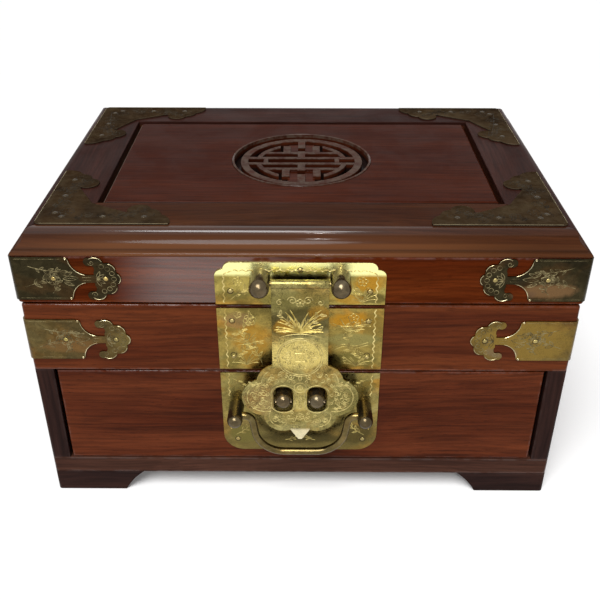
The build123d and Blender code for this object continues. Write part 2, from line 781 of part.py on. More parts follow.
# Outline of one leaf of a corner strap, from the corner along the wall
strap_half = strap_height / 2
neck_half = strap_neck_height / 2
throat_place = strap_band_length + strap_shoulder + strap_throat_radius
throat_half = neck_half + strap_throat_radius
strap_lobe_height = strap_half - strap_lobe_radius
strap_bay_height = neck_half + strap_bay_gap + strap_bay_radius
strap_hook_height = strap_half - strap_hook_drop - strap_hook_radius
with BuildSketch() as strap_leaf:
    with Locations(((strap_band_length + throat_place) / 2, 0)):
        Rectangle(throat_place - strap_band_length, 2 * throat_half)
    with Locations((throat_place, throat_half), (throat_place, -throat_half)):
        Circle(strap_throat_radius, mode=Mode.SUBTRACT)
    with Locations(((corner_round + strap_band_length) / 2, 0)):
        Rectangle(strap_band_length - corner_round, strap_height)
    with Locations(((strap_band_length + strap_lobe_place) / 2, 0)):
        Rectangle(strap_lobe_place - strap_band_length, strap_neck_height)
    with Locations(((strap_head_place + strap_cheek_place) / 2, 0)):
        Rectangle(strap_cheek_place - strap_head_place, 2 * strap_lobe_height)
    with Locations((strap_lobe_place, strap_lobe_height), (strap_lobe_place, -strap_lobe_height)):
        Circle(strap_lobe_radius)
    with Locations((strap_cheek_place, strap_cheek_radius), (strap_cheek_place, -strap_cheek_radius)):
        Circle(strap_cheek_radius)
    with Locations((strap_length - strap_tip_radius, 0)):
        Circle(strap_tip_radius)
    with Locations((strap_bay_place, strap_bay_height), (strap_bay_place, -strap_bay_height)):
        Circle(strap_bay_radius, mode=Mode.SUBTRACT)
    with Locations((strap_hook_place, strap_hook_height), (strap_hook_place, -strap_hook_height)):
        Circle(strap_hook_radius)


def corner_straps(corner_x, end, face_y, middle_z):
    # Straps round both corners of one end, each bent from one sheet
    bend_reach = corner_round + strap_thickness
    with BuildPart() as straps:
        for side in side_names:
            corner = Vector(side * corner_x, face_y, middle_z)
            across = Vector(-side, 0, 0)
            inward = Vector(0, -end, 0)
            for along, outward in ((across, inward * -1), (inward, across * -1)):
                with BuildSketch(Plane(corner, x_dir=along, z_dir=along.cross(up))):
                    add(strap_leaf.sketch)
                extrude(amount=strap_thickness, dir=outward)
            bend_centre = (side * (corner_x - corner_round), face_y - end * corner_round)
            bend_corner = (bend_centre[0] + side * bend_reach / 2, bend_centre[1] + end * bend_reach / 2)
            with BuildSketch(Plane.XY.offset(middle_z - strap_half)):
                with Locations(bend_centre):
                    Circle(bend_reach)
                    Circle(corner_round, mode=Mode.SUBTRACT)
                with Locations(bend_corner):
                    Rectangle(bend_reach, bend_reach, mode=Mode.INTERSECT)
            extrude(amount=strap_height)
    return straps


lid_strap_middle = lid_wall_top - lid_strap_drop
body_strap_middle = body_top - body_strap_drop
for end, end_name in end_names.items():
    lid_straps = corner_straps(lid_half_width, end, lid_end_faces[end], lid_strap_middle)
    save(lid_straps, f"lid_straps_{end_name}")
    body_straps = corner_straps(half_width, end, end_faces[end], body_strap_middle)
    save(body_straps, f"body_straps_{end_name}")

# Outline of a top corner plate, the same along both edges of its corner
corner_lobes = (
    (corner_hook_place, corner_hook_width, corner_hook_radius),
    (corner_cheek_place, corner_cheek_width, corner_cheek_radius),
    (corner_tip_place, corner_tip_width, corner_tip_radius),
)
corner_reach = corner_tip_place + corner_tip_radius
with BuildSketch() as corner_outline:
    with BuildLine():
        Polyline(
            (0, 0),
            (corner_tip_place, 0),
            (corner_cheek_place, corner_cheek_width),
            (corner_neck_place, corner_neck_width),
            (corner_throat, corner_throat),
            (corner_neck_width, corner_neck_place),
            (corner_cheek_width, corner_cheek_place),
            (0, corner_tip_place),
            close=True,
        )
    make_face()
    for lobe_place, lobe_width, lobe_radius in corner_lobes:
        with Locations((lobe_place, lobe_width), (lobe_width, lobe_place)):
            Circle(lobe_radius)
    Rectangle(corner_reach, corner_reach, align=(Align.MIN, Align.MIN), mode=Mode.INTERSECT)
    fillet(corner_outline.vertices().sort_by_distance((0, 0, 0))[0], corner_plate_round)

# Cloud-shaped plates on the top corners, set in a little from the moulding's upper edge
plate_corner_x = lid_half_width - top_inset - corner_plate_inset
for end, end_name in end_names.items():
    plate_corner_y = lid_end_faces[end] - end * (top_inset + corner_plate_inset)
    with BuildPart() as top_corners:
        for side in side_names:
            plate_corner = Vector(side * plate_corner_x, plate_corner_y, lid_top)
            plate_along = Vector(-side, 0, 0) if side == end else Vector(0, -end, 0)
            with BuildSketch(Plane(plate_corner, x_dir=plate_along, z_dir=up)):
                add(corner_outline.sketch)
            extrude(amount=corner_plate_thickness)
    save(top_corners, f"top_corners_{end_name}")


def nail_heads(seats):
    # Low domed heads, each the cap of a sphere seated on its plate
    crown_radius = (nail_radius**2 + nail_height**2) / (2 * nail_height)
    seat_latitude = degrees(asin(1 - nail_height / crown_radius))
    with BuildPart() as heads:
        for spot, outward in seats:
            with Locations(Plane(spot, z_dir=outward)):
                Sphere(crown_radius, arc_size1=seat_latitude, align=(Align.CENTER, Align.CENTER, Align.MIN))
    return heads


def strap_nails(corner_x, faces, middle_z):
    # Seats of the nails on the straps round all four corners
    seats = []
    for side in side_names:
        for end in end_names:
            for reach in (strap_band_nail, strap_head_nail):
                front_x = side * (corner_x - reach)
                side_x = side * (corner_x + strap_thickness)
                front_seat = Vector(front_x, faces[end] + end * strap_thickness, middle_z)
                side_seat = Vector(side_x, faces[end] - end * reach, middle_z)
                seats.append((front_seat, Vector(0, end, 0)))
                seats.append((side_seat, Vector(side, 0, 0)))
    return seats


def leaf_screws(face_y, height):
    # Seats of the screw heads on one row of hinge leaves
    seats = []
    for side in side_names:
        for way in (-1, 1):
            screw_x = side * hinge_place + way * hinge_screw_pitch / 2
            seats.append((Vector(screw_x, face_y + hinge_leaf_thickness, height), Vector(0, 1, 0)))
    return seats


# Nails of the case
forward = Vector(0, -1, 0)
nail_place = plate_half_width - nail_inset
case_seats = strap_nails(half_width, end_faces, body_strap_middle)
for side in side_names:
    for height in (mid_plate_levels[0] + nail_inset, mid_plate_levels[1] - nail_inset):
        case_seats.append((Vector(side * nail_place, front_face - plate_thickness, height), forward))
leaf_start = knuckle_radius + knuckle_gap
screw_offset = leaf_start + hinge_leaf_height / 2
case_seats += leaf_screws(back_face, hinge_axis_z - screw_offset)
save(nail_heads(case_seats), "case_nails")

# Nails of the lid
lid_seats = strap_nails(lid_half_width, lid_end_faces, lid_strap_middle)
lid_seats.append((Vector(0, lid_plate_face, lid_plate_high - lid_nail_drop), forward))
for side in side_names:
    lid_seats.append((Vector(side * nail_place, lid_plate_face, lid_plate_low + nail_inset), forward))
    for end in end_names:
        corner_y = lid_end_faces[end] - end * (top_inset + corner_plate_inset)
        for step in range(corner_nail_count):
            reach = corner_nail_start + step * corner_nail_pitch
            for across, inward in ((reach, corner_nail_inset), (corner_nail_inset, reach)):
                nail_x = side * (plate_corner_x - across)
                nail_y = corner_y - end * inward
                lid_seats.append((Vector(nail_x, nail_y, lid_top + corner_plate_thickness), up))
lid_seats += leaf_screws(lid_back, hinge_axis_z + screw_offset)
save(nail_heads(lid_seats), "lid_nails")

# Nails of the drawer plate
drawer_nail_height = drawer_plate_low + nail_inset
drawer_seats = [(Vector(s * nail_place, drawer_plate_face, drawer_nail_height), forward) for s in side_names]
save(nail_heads(drawer_seats), "drawer_nails")

# Rear hinges: three knuckles each, the outer two on the case and the middle one on the lid
knuckle_length = (hinge_width - 2 * knuckle_gap) / 3
knuckle_pitch = knuckle_length + knuckle_gap


def hinge_leaves(face_y, way, knuckle_places, bore_radius):
    # The leaves of both hinges on one side of the axis, each with its knuckles
    with BuildPart() as leaves:
        for side in side_names:
            leaf_span = (side * hinge_place - hinge_width / 2, side * hinge_place + hinge_width / 2)
            leaf_low, leaf_high = sorted((way * leaf_start, way * (leaf_start + hinge_leaf_height)))
            leaf_levels = (hinge_axis_z + leaf_low, hinge_axis_z + leaf_high)
            add(board(leaf_span, (face_y, face_y + hinge_leaf_thickness), leaf_levels).part)
            for place in knuckle_places:
                middle = side * hinge_place + place * knuckle_pitch
                knuckle_span = (middle - knuckle_length / 2, middle + knuckle_length / 2)
                arm_low, arm_high = sorted((0, way * leaf_start))
                arm_levels = (hinge_axis_z + arm_low, hinge_axis_z + arm_high)
                add(board(knuckle_span, (face_y, face_y + hinge_leaf_thickness), arm_levels).part)
                web_low, web_high = sorted((0, way * knuckle_radius))
                web_levels = (hinge_axis_z + web_low, hinge_axis_z + web_high)
                add(board(knuckle_span, (face_y, hinge_axis_y), web_levels).part)
                with BuildSketch(Plane.YZ.offset(knuckle_span[0])):
                    with Locations((hinge_axis_y, hinge_axis_z)):
                        Circle(knuckle_radius)
                extrude(amount=knuckle_length)
        bore = cross_rod(hinge_axis_y, hinge_axis_z, bore_radius, hinge_place + hinge_width)
        add(bore.part, mode=Mode.SUBTRACT)
    return leaves


save(hinge_leaves(back_face, -1, (-1, 1), hinge_pin_radius), "case_hinge_leaves")
save(hinge_leaves(lid_back, 1, (0,), hinge_pin_radius + hinge_pin_fit), "lid_hinge_leaves")
with BuildPart() as hinge_pins:
    for side in side_names:
        with BuildSketch(Plane.YZ.offset(side * hinge_place)):
            with Locations((hinge_axis_y, hinge_axis_z)):
                Circle(hinge_pin_radius)
        extrude(amount=hinge_width / 2, both=True)
save(hinge_pins, "hinge_pins")
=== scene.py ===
import math
import random

import bpy
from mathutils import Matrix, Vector


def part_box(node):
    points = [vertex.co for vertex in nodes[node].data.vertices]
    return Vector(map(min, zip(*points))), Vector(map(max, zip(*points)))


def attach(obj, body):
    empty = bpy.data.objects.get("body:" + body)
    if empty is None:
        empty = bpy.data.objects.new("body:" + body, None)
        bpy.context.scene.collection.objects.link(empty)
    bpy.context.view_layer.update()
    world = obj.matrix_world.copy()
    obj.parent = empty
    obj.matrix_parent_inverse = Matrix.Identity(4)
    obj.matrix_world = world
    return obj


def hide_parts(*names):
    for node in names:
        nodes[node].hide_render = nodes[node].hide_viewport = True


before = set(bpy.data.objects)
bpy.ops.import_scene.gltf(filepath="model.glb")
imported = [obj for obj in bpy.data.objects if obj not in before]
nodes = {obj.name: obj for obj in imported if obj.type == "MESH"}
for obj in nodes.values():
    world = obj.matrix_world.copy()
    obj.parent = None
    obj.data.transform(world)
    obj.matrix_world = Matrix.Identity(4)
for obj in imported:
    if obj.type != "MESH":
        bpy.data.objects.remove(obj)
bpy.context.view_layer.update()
print("box: the frame is in,", len(nodes), "parts")

mm = 0.001


def startGroup(label, inlets, outlets):
    tree = bpy.data.node_groups.new(label, "ShaderNodeTree")
    for name, kind, value in inlets:
        socket = tree.interface.new_socket(name=name, in_out="INPUT", socket_type=kind)
        if value is not None:
            socket.default_value = value
    for name, kind in outlets:
        tree.interface.new_socket(name=name, in_out="OUTPUT", socket_type=kind)
    return tree, tree.nodes.new("NodeGroupInput"), tree.nodes.new("NodeGroupOutput")


def feed(tree, node, values):
    # a number or a link for each named socket
    for socket, value in values.items():
        if isinstance(value, bpy.types.NodeSocket):
            tree.links.new(value, node.inputs[socket])
        else:
            node.inputs[socket].default_value = value
    return node


def put(tree, kind, values=None, **settings):
    # one new node with its settings and inputs
    node = tree.nodes.new("ShaderNode" + kind)
    for key, value in settings.items():
        setattr(node, key, value)
    return feed(tree, node, values or {})


def reckonVectors(tree, first, second, how="ADD"):
    return put(tree, "VectorMath", {0: first, 1: second}, operation=how).outputs[0]


def noiseAt(tree, vector, scale, detail=3.0, rough=0.5, warp=0.0):
    # noise stretched along each axis, in features per metre
    spread = reckonVectors(tree, vector, scale, "MULTIPLY")
    values = {"Vector": spread, "Scale": 1.0, "Detail": detail, "Roughness": rough, "Distortion": warp}
    return put(tree, "TexNoise", values, noise_dimensions="3D").outputs["Fac"]


def spanTo(tree, value, low, high, outLow=0.0, outHigh=1.0):
    # a smooth step between two values
    values = {"Value": value, "From Min": low, "From Max": high, "To Min": outLow, "To Max": outHigh}
    return put(tree, "MapRange", values, interpolation_type="SMOOTHSTEP").outputs["Result"]


def reckon(tree, first, second, how="ADD"):
    return put(tree, "Math", {0: first, 1: second}, operation=how).outputs[0]


def times(tree, first, second):
    return reckon(tree, first, second, "MULTIPLY")


def absolute(tree, value):
    return put(tree, "Math", {0: value}, operation="ABSOLUTE").outputs[0]


def grey(tree, level):
    return put(tree, "CombineColor", {0: level, 1: level, 2: level}).outputs[0]


def axesOf(tree, where):
    return put(tree, "SeparateXYZ", {0: where}).outputs


def blendColours(tree, amount, first, second, how="MIX"):
    # sockets or plain triples of red, green and blue
    first, second = (c if isinstance(c, bpy.types.NodeSocket) else (*c, 1.0) for c in (first, second))
    values = {0: amount, 6: first, 7: second}
    return put(tree, "Mix", values, data_type="RGBA", blend_type=how, clamp_factor=True).outputs[2]


def shifted(tree, inlet):
    return reckonVectors(tree, inlet.outputs["Vector"], inlet.outputs["Offset"])


def scaled(tree, vector, size):
    return put(tree, "VectorMath", {0: vector, "Scale": size}, operation="SCALE").outputs[0]


vectorIn = ("Vector", "NodeSocketVector", None)
offsetIn = ("Offset", "NodeSocketVector", (0.0, 0.0, 0.0))


def makeGrain():
    # rosewood figure with the grain along the first axis
    tree, inlet, outlet = startGroup(
        "rosewood grain",
        [vectorIn, offsetIn, ("Figure Width", "NodeSocketFloat", 1.0)],
        [(name, "NodeSocketFloat") for name in ("Figure", "Veins", "Streaks", "Pores", "Height")],
    )
    moved = shifted(tree, inlet)
    wander = noiseAt(tree, moved, (5.0, 14.0, 14.0), 2.0)
    swing = times(tree, reckon(tree, wander, 0.5, "SUBTRACT"), 0.018)
    side = put(tree, "CombineXYZ", {"Y": swing, "Z": swing}).outputs[0]
    bent = reckonVectors(tree, moved, side)
    wide = scaled(tree, bent, inlet.outputs["Figure Width"])
    figure = noiseAt(tree, wide, (5.0, 52.0, 52.0), 4.0, 0.55, 0.3)
    veins = spanTo(tree, noiseAt(tree, wide, (4.2, 190.0, 190.0), 3.0, 0.6, 0.2), 0.54, 0.7)
    streaks = noiseAt(tree, bent, (22.0, 620.0, 620.0), 3.0, 0.6)
    pores = spanTo(tree, noiseAt(tree, bent, (150.0, 2600.0, 2600.0), 2.0, 0.5), 0.6, 0.7)
    ridge = reckon(tree, times(tree, streaks, 0.5), times(tree, pores, 0.6), "SUBTRACT")
    results = {"Figure": figure, "Veins": veins, "Streaks": streaks, "Pores": pores, "Height": ridge}
    feed(tree, outlet, results)
    return tree


def makeTarnish():
    # age of the brass: broad patches, a finer mottle, rub marks and specks
    tree, inlet, outlet = startGroup(
        "brass tarnish",
        [vectorIn, offsetIn, ("Patch Size", "NodeSocketFloat", 1.0)],
        [(name, "NodeSocketFloat") for name in ("Patches", "Mottle", "Rubbing", "Specks", "Height")],
    )
    moved = shifted(tree, inlet)
    sized = scaled(tree, moved, inlet.outputs["Patch Size"])
    patches = noiseAt(tree, sized, (44.0, 44.0, 62.0), 3.0, 0.5, 0.6)
    mottle = noiseAt(tree, sized, (210.0, 210.0, 260.0), 4.0, 0.6, 0.8)
    rubbing = noiseAt(tree, moved, (90.0, 90.0, 2400.0), 3.0, 0.55, 0.4)
    specks = spanTo(tree, noiseAt(tree, moved, (1500.0, 1500.0, 1500.0), 1.0, 0.5), 0.64, 0.72)
    dents = reckon(tree, times(tree, mottle, 0.7), times(tree, specks, 0.5), "SUBTRACT")
    height = reckon(tree, dents, times(tree, rubbing, 0.25))
    results = {"Patches": patches, "Mottle": mottle, "Rubbing": rubbing, "Specks": specks, "Height": height}
    feed(tree, outlet, results)
    return tree


def makeEdgeRub():
    # how near a point is to the edges of its own part's box, where hands and time wear the finish
    tree, inlet, outlet = startGroup(
        "edge rub",
        [
            vectorIn,
            ("Low Corner", "NodeSocketVector", None),
            ("High Corner", "NodeSocketVector", None),
            ("Reach", "NodeSocketFloat", 0.002),
        ],
        [("Rub", "NodeSocketFloat")],
    )
    where, low, high = (inlet.outputs[name] for name in ("Vector", "Low Corner", "High Corner"))
    fromLow = reckonVectors(tree, where, low, "SUBTRACT")
    toHigh = reckonVectors(tree, high, where, "SUBTRACT")
    nearest = axesOf(tree, reckonVectors(tree, fromLow, toHigh, "MINIMUM"))
    alongX, alongY, alongZ = (reckon(tree, nearest[name], 0.0, "MAXIMUM") for name in "XYZ")
    # the middle one of the three distances is small only near an edge
    lowPair = reckon(tree, alongX, alongY, "MINIMUM")
    highPair = reckon(tree, alongX, alongY, "MAXIMUM")
    middle = reckon(tree, lowPair, reckon(tree, highPair, alongZ, "MINIMUM"), "MAXIMUM")
    fade = spanTo(tree, reckon(tree, middle, inlet.outputs["Reach"], "DIVIDE"), 0.0, 1.0, 1.0, 0.0)
    broken = noiseAt(tree, where, (160.0, 160.0, 160.0), 4.0, 0.65)
    feed(tree, outlet, {"Rub": times(tree, fade, spanTo(tree, broken, 0.35, 0.65))})
    return tree


def makeChasing():
    # fine curling tool marks that fill the ground between the cut lines
    tree, inlet, outlet = startGroup(
        "chased ground", [vectorIn, ("Amount", "NodeSocketFloat", 1.0)], [("Marks", "NodeSocketFloat")]
    )
    where = inlet.outputs["Vector"]
    curls = noiseAt(tree, where, (430.0, 430.0, 430.0), 1.0, 0.4, 2.4)
    line = spanTo(tree, absolute(tree, reckon(tree, curls, 0.5, "SUBTRACT")), 0.045, 0.012)
    presence = spanTo(tree, noiseAt(tree, where, (120.0, 120.0, 120.0), 2.0), 0.4, 0.6, 0.35, 1.0)
    feed(tree, outlet, {"Marks": times(tree, times(tree, line, presence), inlet.outputs["Amount"])})
    return tree


def makePatch():
    # a soft patch round one point of the front, ragged at its rim, for tarnish and for painted shade
    names = ("Middle X", "Middle Z", "Half Width", "Half Height")
    inlets = [vectorIn, *((name, "NodeSocketFloat", 1.0) for name in names)]
    tree, inlet, outlet = startGroup("tarnish and shade patch", inlets, [("Mask", "NodeSocketFloat")])
    where = inlet.outputs["Vector"]
    middleX, middleZ, across, tall = (inlet.outputs[name] for name in names)
    place = axesOf(tree, where)
    sideways = reckon(tree, reckon(tree, place["X"], middleX, "SUBTRACT"), across, "DIVIDE")
    upward = reckon(tree, reckon(tree, place["Z"], middleZ, "SUBTRACT"), tall, "DIVIDE")
    flat = put(tree, "CombineXYZ", {"X": sideways, "Y": upward}).outputs[0]
    reach = put(tree, "VectorMath", {0: flat}, operation="LENGTH").outputs["Value"]
    ragged = times(tree, noiseAt(tree, where, (130.0, 130.0, 150.0), 4.0, 0.6), 0.9)
    feed(tree, outlet, {"Mask": spanTo(tree, reckon(tree, reach, ragged), 1.62, 1.1)})
    return tree


grainGroup = makeGrain()
chasingGroup = makeChasing()
tarnishGroup = makeTarnish()
edgeRubGroup = makeEdgeRub()
patchGroup = makePatch()
print("box: grain, chasing, tarnish, edge rub and blooms are made")


def newMaterial(label):
    material = bpy.data.materials.new(label)
    material.use_nodes = True
    tree = material.node_tree
    return material, tree, tree.nodes["Principled BSDF"], put(tree, "TexCoord").outputs["Object"]


def effect(tree, group, where, values):
    # one of the groups above, placed in a material with its own values
    return put(tree, "Group", {"Vector": where, **values}, node_tree=group).outputs


def bumpOf(tree, height, strength, depth):
    return put(tree, "Bump", {"Height": height, "Strength": strength, "Distance": depth}).outputs["Normal"]


def boxInMm(part):
    # two opposite corners of a part's box
    return [tuple(round(value / mm, 3) for value in corner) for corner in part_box(part)]


wood = {
    "roughness": (0.3, 0.48),
    "specular": 0.01,
    "coat": 0.09,
    "topCoat": 0.025,
    "edgeCoat": 0.6,
    "sideCoat": 0.2,
    "coatRoughness": 0.13,
    "edgeRub": 0.1,
    "rubReach": 1.8 * mm,
    "streaks": (0.68, 1.2),
    "pores": 0.55,
    "bevel": 0.35 * mm,
    "bump": 0.14,
    "bumpDepth": 0.12 * mm,
    "seed": 11,
}
# deep, middle and light colour of each kind of board
lidWood = ((0.028, 0.0042, 0.0010), (0.074, 0.0125, 0.0024), (0.124, 0.0265, 0.0052))
frontWood = ((0.027, 0.0050, 0.0018), (0.074, 0.0150, 0.0042), (0.122, 0.0290, 0.0082))
panelWood = ((0.017, 0.0034, 0.0012), (0.038, 0.0066, 0.0020), (0.062, 0.0130, 0.0046))
railWood = ((0.018, 0.0048, 0.0020), (0.038, 0.0102, 0.0036), (0.070, 0.0230, 0.0078))
sideRailWood = ((0.012, 0.0038, 0.0026), (0.024, 0.0074, 0.0052), (0.041, 0.0140, 0.0100))
drawerWood = ((0.014, 0.0034, 0.0016), (0.062, 0.0120, 0.0036), (0.112, 0.0260, 0.0082))
darkWood = ((0.009, 0.0040, 0.0034), (0.017, 0.0070, 0.0058), (0.032, 0.0130, 0.0095))
lowWood = ((0.020, 0.0078, 0.0052), (0.043, 0.0165, 0.0105), (0.070, 0.0280, 0.0170))
# of each board: the way of its grain, its colours, the width of its figure and the strength of its veins
boards = {
    "lid_wall_front": ("x", lidWood, 1.0, 0.35),
    "lid_wall_rear": ("x", lidWood, 1.0, 0.35),
    "lid_wall_left": ("y", lidWood, 1.0, 0.35),
    "lid_wall_right": ("y", lidWood, 1.0, 0.35),
    "top_rail_front": ("x", railWood, 1.1, 0.4),
    "top_rail_rear": ("x", sideRailWood, 1.1, 0.4),
    "top_rail_left": ("y", sideRailWood, 1.1, 0.4),
    "top_rail_right": ("y", sideRailWood, 1.1, 0.4),
    "top_panel": ("x", panelWood, 0.8, 0.3),
    "fret_roundel": ("x", panelWood, 1.6, 0.3),
    "front_board": ("x", frontWood, 1.0, 0.4),
    "back_board": ("x", frontWood, 0.8, 0.5),
    "side_board_left": ("y", frontWood, 0.8, 0.5),
    "side_board_right": ("y", frontWood, 0.8, 0.5),
    "stile_left": ("z", darkWood, 1.2, 0.3),
    "stile_right": ("z", darkWood, 1.2, 0.3),
    "drawer_front": ("x", drawerWood, 0.9, 0.5),
    "base_rail_front": ("x", lowWood, 1.2, 0.4),
    "base_rail_rear": ("x", lowWood, 1.2, 0.4),
    "base_rail_left": ("y", lowWood, 1.2, 0.4),
    "base_rail_right": ("y", lowWood, 1.2, 0.4),
    "foot_front_left": ("x", darkWood, 1.2, 0.3),
    "foot_front_right": ("x", darkWood, 1.2, 0.3),
    "foot_rear_left": ("x", darkWood, 1.2, 0.3),
    "foot_rear_right": ("x", darkWood, 1.2, 0.3),
}
# the moulding from its top down, with heights in mm, coloured by height to copy how light falls on its profile:
# painted shade in the cove under the nosing, painted light on an orange band, then painted shade in the quirk;
# the fade says where these painted colours thin out towards the left and the right end
moulding = {
    "coveShade": (0.072, 0.0230, 0.0066),
    "coveShadeAmount": 0.85,
    "orangeLight": (0.140, 0.0500, 0.0160),
    "orangeLightAmount": 0.65,
    "shadeAndGrime": (0.014, 0.0070, 0.0045),
    "quirkShadeAmount": 0.5,
    "levels": (176.4, 175.4, 171.6, 170.6, 169.6, 168.8, 167.6),
    "bandFade": (-150.0, -90.0, 30.0, 140.0),
    "endFade": 0.25,
}
# lacquer on the outer round of the rails: the axis, where in mm its shine starts and is full, and how
# strong it is; it fades downwards between the levels and towards the right end
nosing = {
    "rails": {
        "top_rail_front": ("Y", -87.6, -88.2, 0.85),
        "top_rail_rear": ("Y", 100.4, 101.0, 0.85),
        "top_rail_left": ("X", -140.4, -141.0, 0.12),
        "top_rail_right": ("X", 140.4, 141.0, 0.3),
    },
    "levels": (174.8, 176.0),
    "lowShine": 0.3,
    "fade": (130.0, -20.0),
    "farShine": 0.4,
}
roundel = {
    "from": 175.9 * mm,
    "to": 176.5 * mm,
    "amount": 0.5,
    # worn is the pale top, partly wear and partly a painted highlight; deep is painted shade in the wells
    "worn": (0.088, 0.060, 0.044),
    "deep": (0.010, 0.005, 0.004),
    "shadedFrom": 175.6 * mm,
    "shadedTo": 173.4 * mm,
    "bevel": 0.75 * mm,
    "segments": 3,
}
# the panel's tongue is hidden in the rails, a painted highlight lies on its left chamfer, and a painted shadow
# darkens its front edge
panel = {
    "tongue": 7.2 * mm,
    "openEnds": 300.0 * mm,
    # the side edges are paler than other boards', partly wear and partly a painted highlight on their chamfers
    "edgeRub": 0.5,
    "chamferFrom": -108.9 * mm,
    "chamferTo": -109.4 * mm,
    "chamfer": (0.180, 0.135, 0.110),
    "chamferAmount": 0.85,
    "shadowFrom": -56.3 * mm,
    "shadowTo": -56.7 * mm,
    "shadowAmount": 0.9,
}
# soft window light in the lacquer of the lid's front wall, left of its middle and fading at both ends
wallSheen = {
    "from": 10.0 * mm,
    "to": -40.0 * mm,
    "edge": -106.0 * mm,
    "edgeFull": -66.0 * mm,
    "edgeGloss": 0.35,
    "amount": 0.8,
    "coatIor": 2.1,
}
grainTurns = {"x": ("X", "Y", "Z"), "y": ("Y", "X", "Z"), "z": ("Z", "X", "Y")}
softening = {"merge": 0.002 * mm, "flat": 0.5, "angle": 40.0}


def edgePolish(part):
    # hands polish the edges along the front, and hardly those of the sides, the stiles, the feet and the back
    aside = part.endswith(("_left", "_right", "_rear")) or part == "back_board"
    return wood["sideCoat"] if aside else wood["edgeCoat"]


def wallGloss(tree, along, place, edges):
    sheen = spanTo(tree, place["X"], wallSheen["from"], wallSheen["to"])
    sheen = times(tree, sheen, spanTo(tree, place["X"], wallSheen["edge"], wallSheen["edgeFull"]))
    drift = noiseAt(tree, along, (9.0, 60.0, 420.0), 4.0, 0.6)
    sheen = times(tree, sheen, spanTo(tree, drift, 0.25, 0.7, 0.55, wallSheen["amount"]))
    return reckon(tree, times(tree, edges, wallSheen["edgeGloss"]), sheen, "MAXIMUM")


def mouldingColour(tree, place, colour):
    # painted shade and painted light by height, standing for the light on the moulding's profile
    height = place["Z"]
    top, coveTop, coveLow, orangeTop, orangeLow, quirkTop, quirkLow = (z * mm for z in moulding["levels"])
    leftEnd, leftFull, rightFull, rightEnd = (x * mm for x in moulding["bandFade"])
    fromLeft = spanTo(tree, place["X"], leftEnd, leftFull, moulding["endFade"], 1.0)
    fromRight = spanTo(tree, place["X"], rightEnd, rightFull, moulding["endFade"], 1.0)
    bandFade = times(tree, fromLeft, fromRight)
    coveShade = times(tree, spanTo(tree, height, top, coveTop), moulding["coveShadeAmount"])
    colour = blendColours(tree, times(tree, coveShade, bandFade), colour, moulding["coveShade"])
    orangeLight = times(tree, spanTo(tree, height, coveLow, orangeTop), moulding["orangeLightAmount"])
    colour = blendColours(tree, times(tree, orangeLight, bandFade), colour, moulding["orangeLight"])
    quirk = times(tree, spanTo(tree, height, orangeLow, quirkTop), spanTo(tree, height, quirkLow, quirkTop))
    return blendColours(tree, times(tree, quirk, moulding["quirkShadeAmount"]), colour, moulding["shadeAndGrime"])


def nosingGloss(tree, part, place, gloss):
    axis, start, stop, shine = nosing["rails"][part]
    low, high = (z * mm for z in nosing["levels"])
    far, near = (x * mm for x in nosing["fade"])
    outer = spanTo(tree, place[axis], start * mm, stop * mm, wood["topCoat"], shine)
    outer = times(tree, outer, spanTo(tree, place["Z"], low, high, nosing["lowShine"], 1.0))
    outer = times(tree, outer, spanTo(tree, place["X"], far, near, nosing["farShine"], 1.0))
    return reckon(tree, reckon(tree, gloss, wood["topCoat"], "MINIMUM"), outer, "MAXIMUM")


def panelColour(tree, where, place, colour):
    # a painted highlight on the left chamfer, broken by noise, and a painted shadow along the front edge in the
    # moulding's shade colour
    highlightBreaks = noiseAt(tree, where, (300.0, 90.0, 300.0), 4.0, 0.6)
    pale = spanTo(tree, place["X"], panel["chamferFrom"], panel["chamferTo"])
    pale = times(tree, pale, spanTo(tree, highlightBreaks, 0.3, 0.6, 0.3, panel["chamferAmount"]))
    colour = blendColours(tree, pale, colour, panel["chamfer"])
    shadow = spanTo(tree, place["Y"], panel["shadowFrom"], panel["shadowTo"])
    return blendColours(tree, times(tree, shadow, panel["shadowAmount"]), colour, moulding["shadeAndGrime"])


def roundelColour(tree, where, place, colour):
    # strokes paler on top, partly wear and partly a painted highlight, above a ground darkened with painted
    # shade
    wornAndLit = spanTo(tree, noiseAt(tree, where, (240.0, 240.0, 240.0), 4.0, 0.65), 0.36, 0.62, 0.25, 1.5)
    top = times(tree, spanTo(tree, place["Z"], roundel["from"], roundel["to"]), wornAndLit)
    ground = spanTo(tree, place["Z"], roundel["shadedFrom"], roundel["shadedTo"])
    colour = blendColours(tree, ground, colour, roundel["deep"])
    return blendColours(tree, times(tree, top, roundel["amount"]), colour, roundel["worn"])


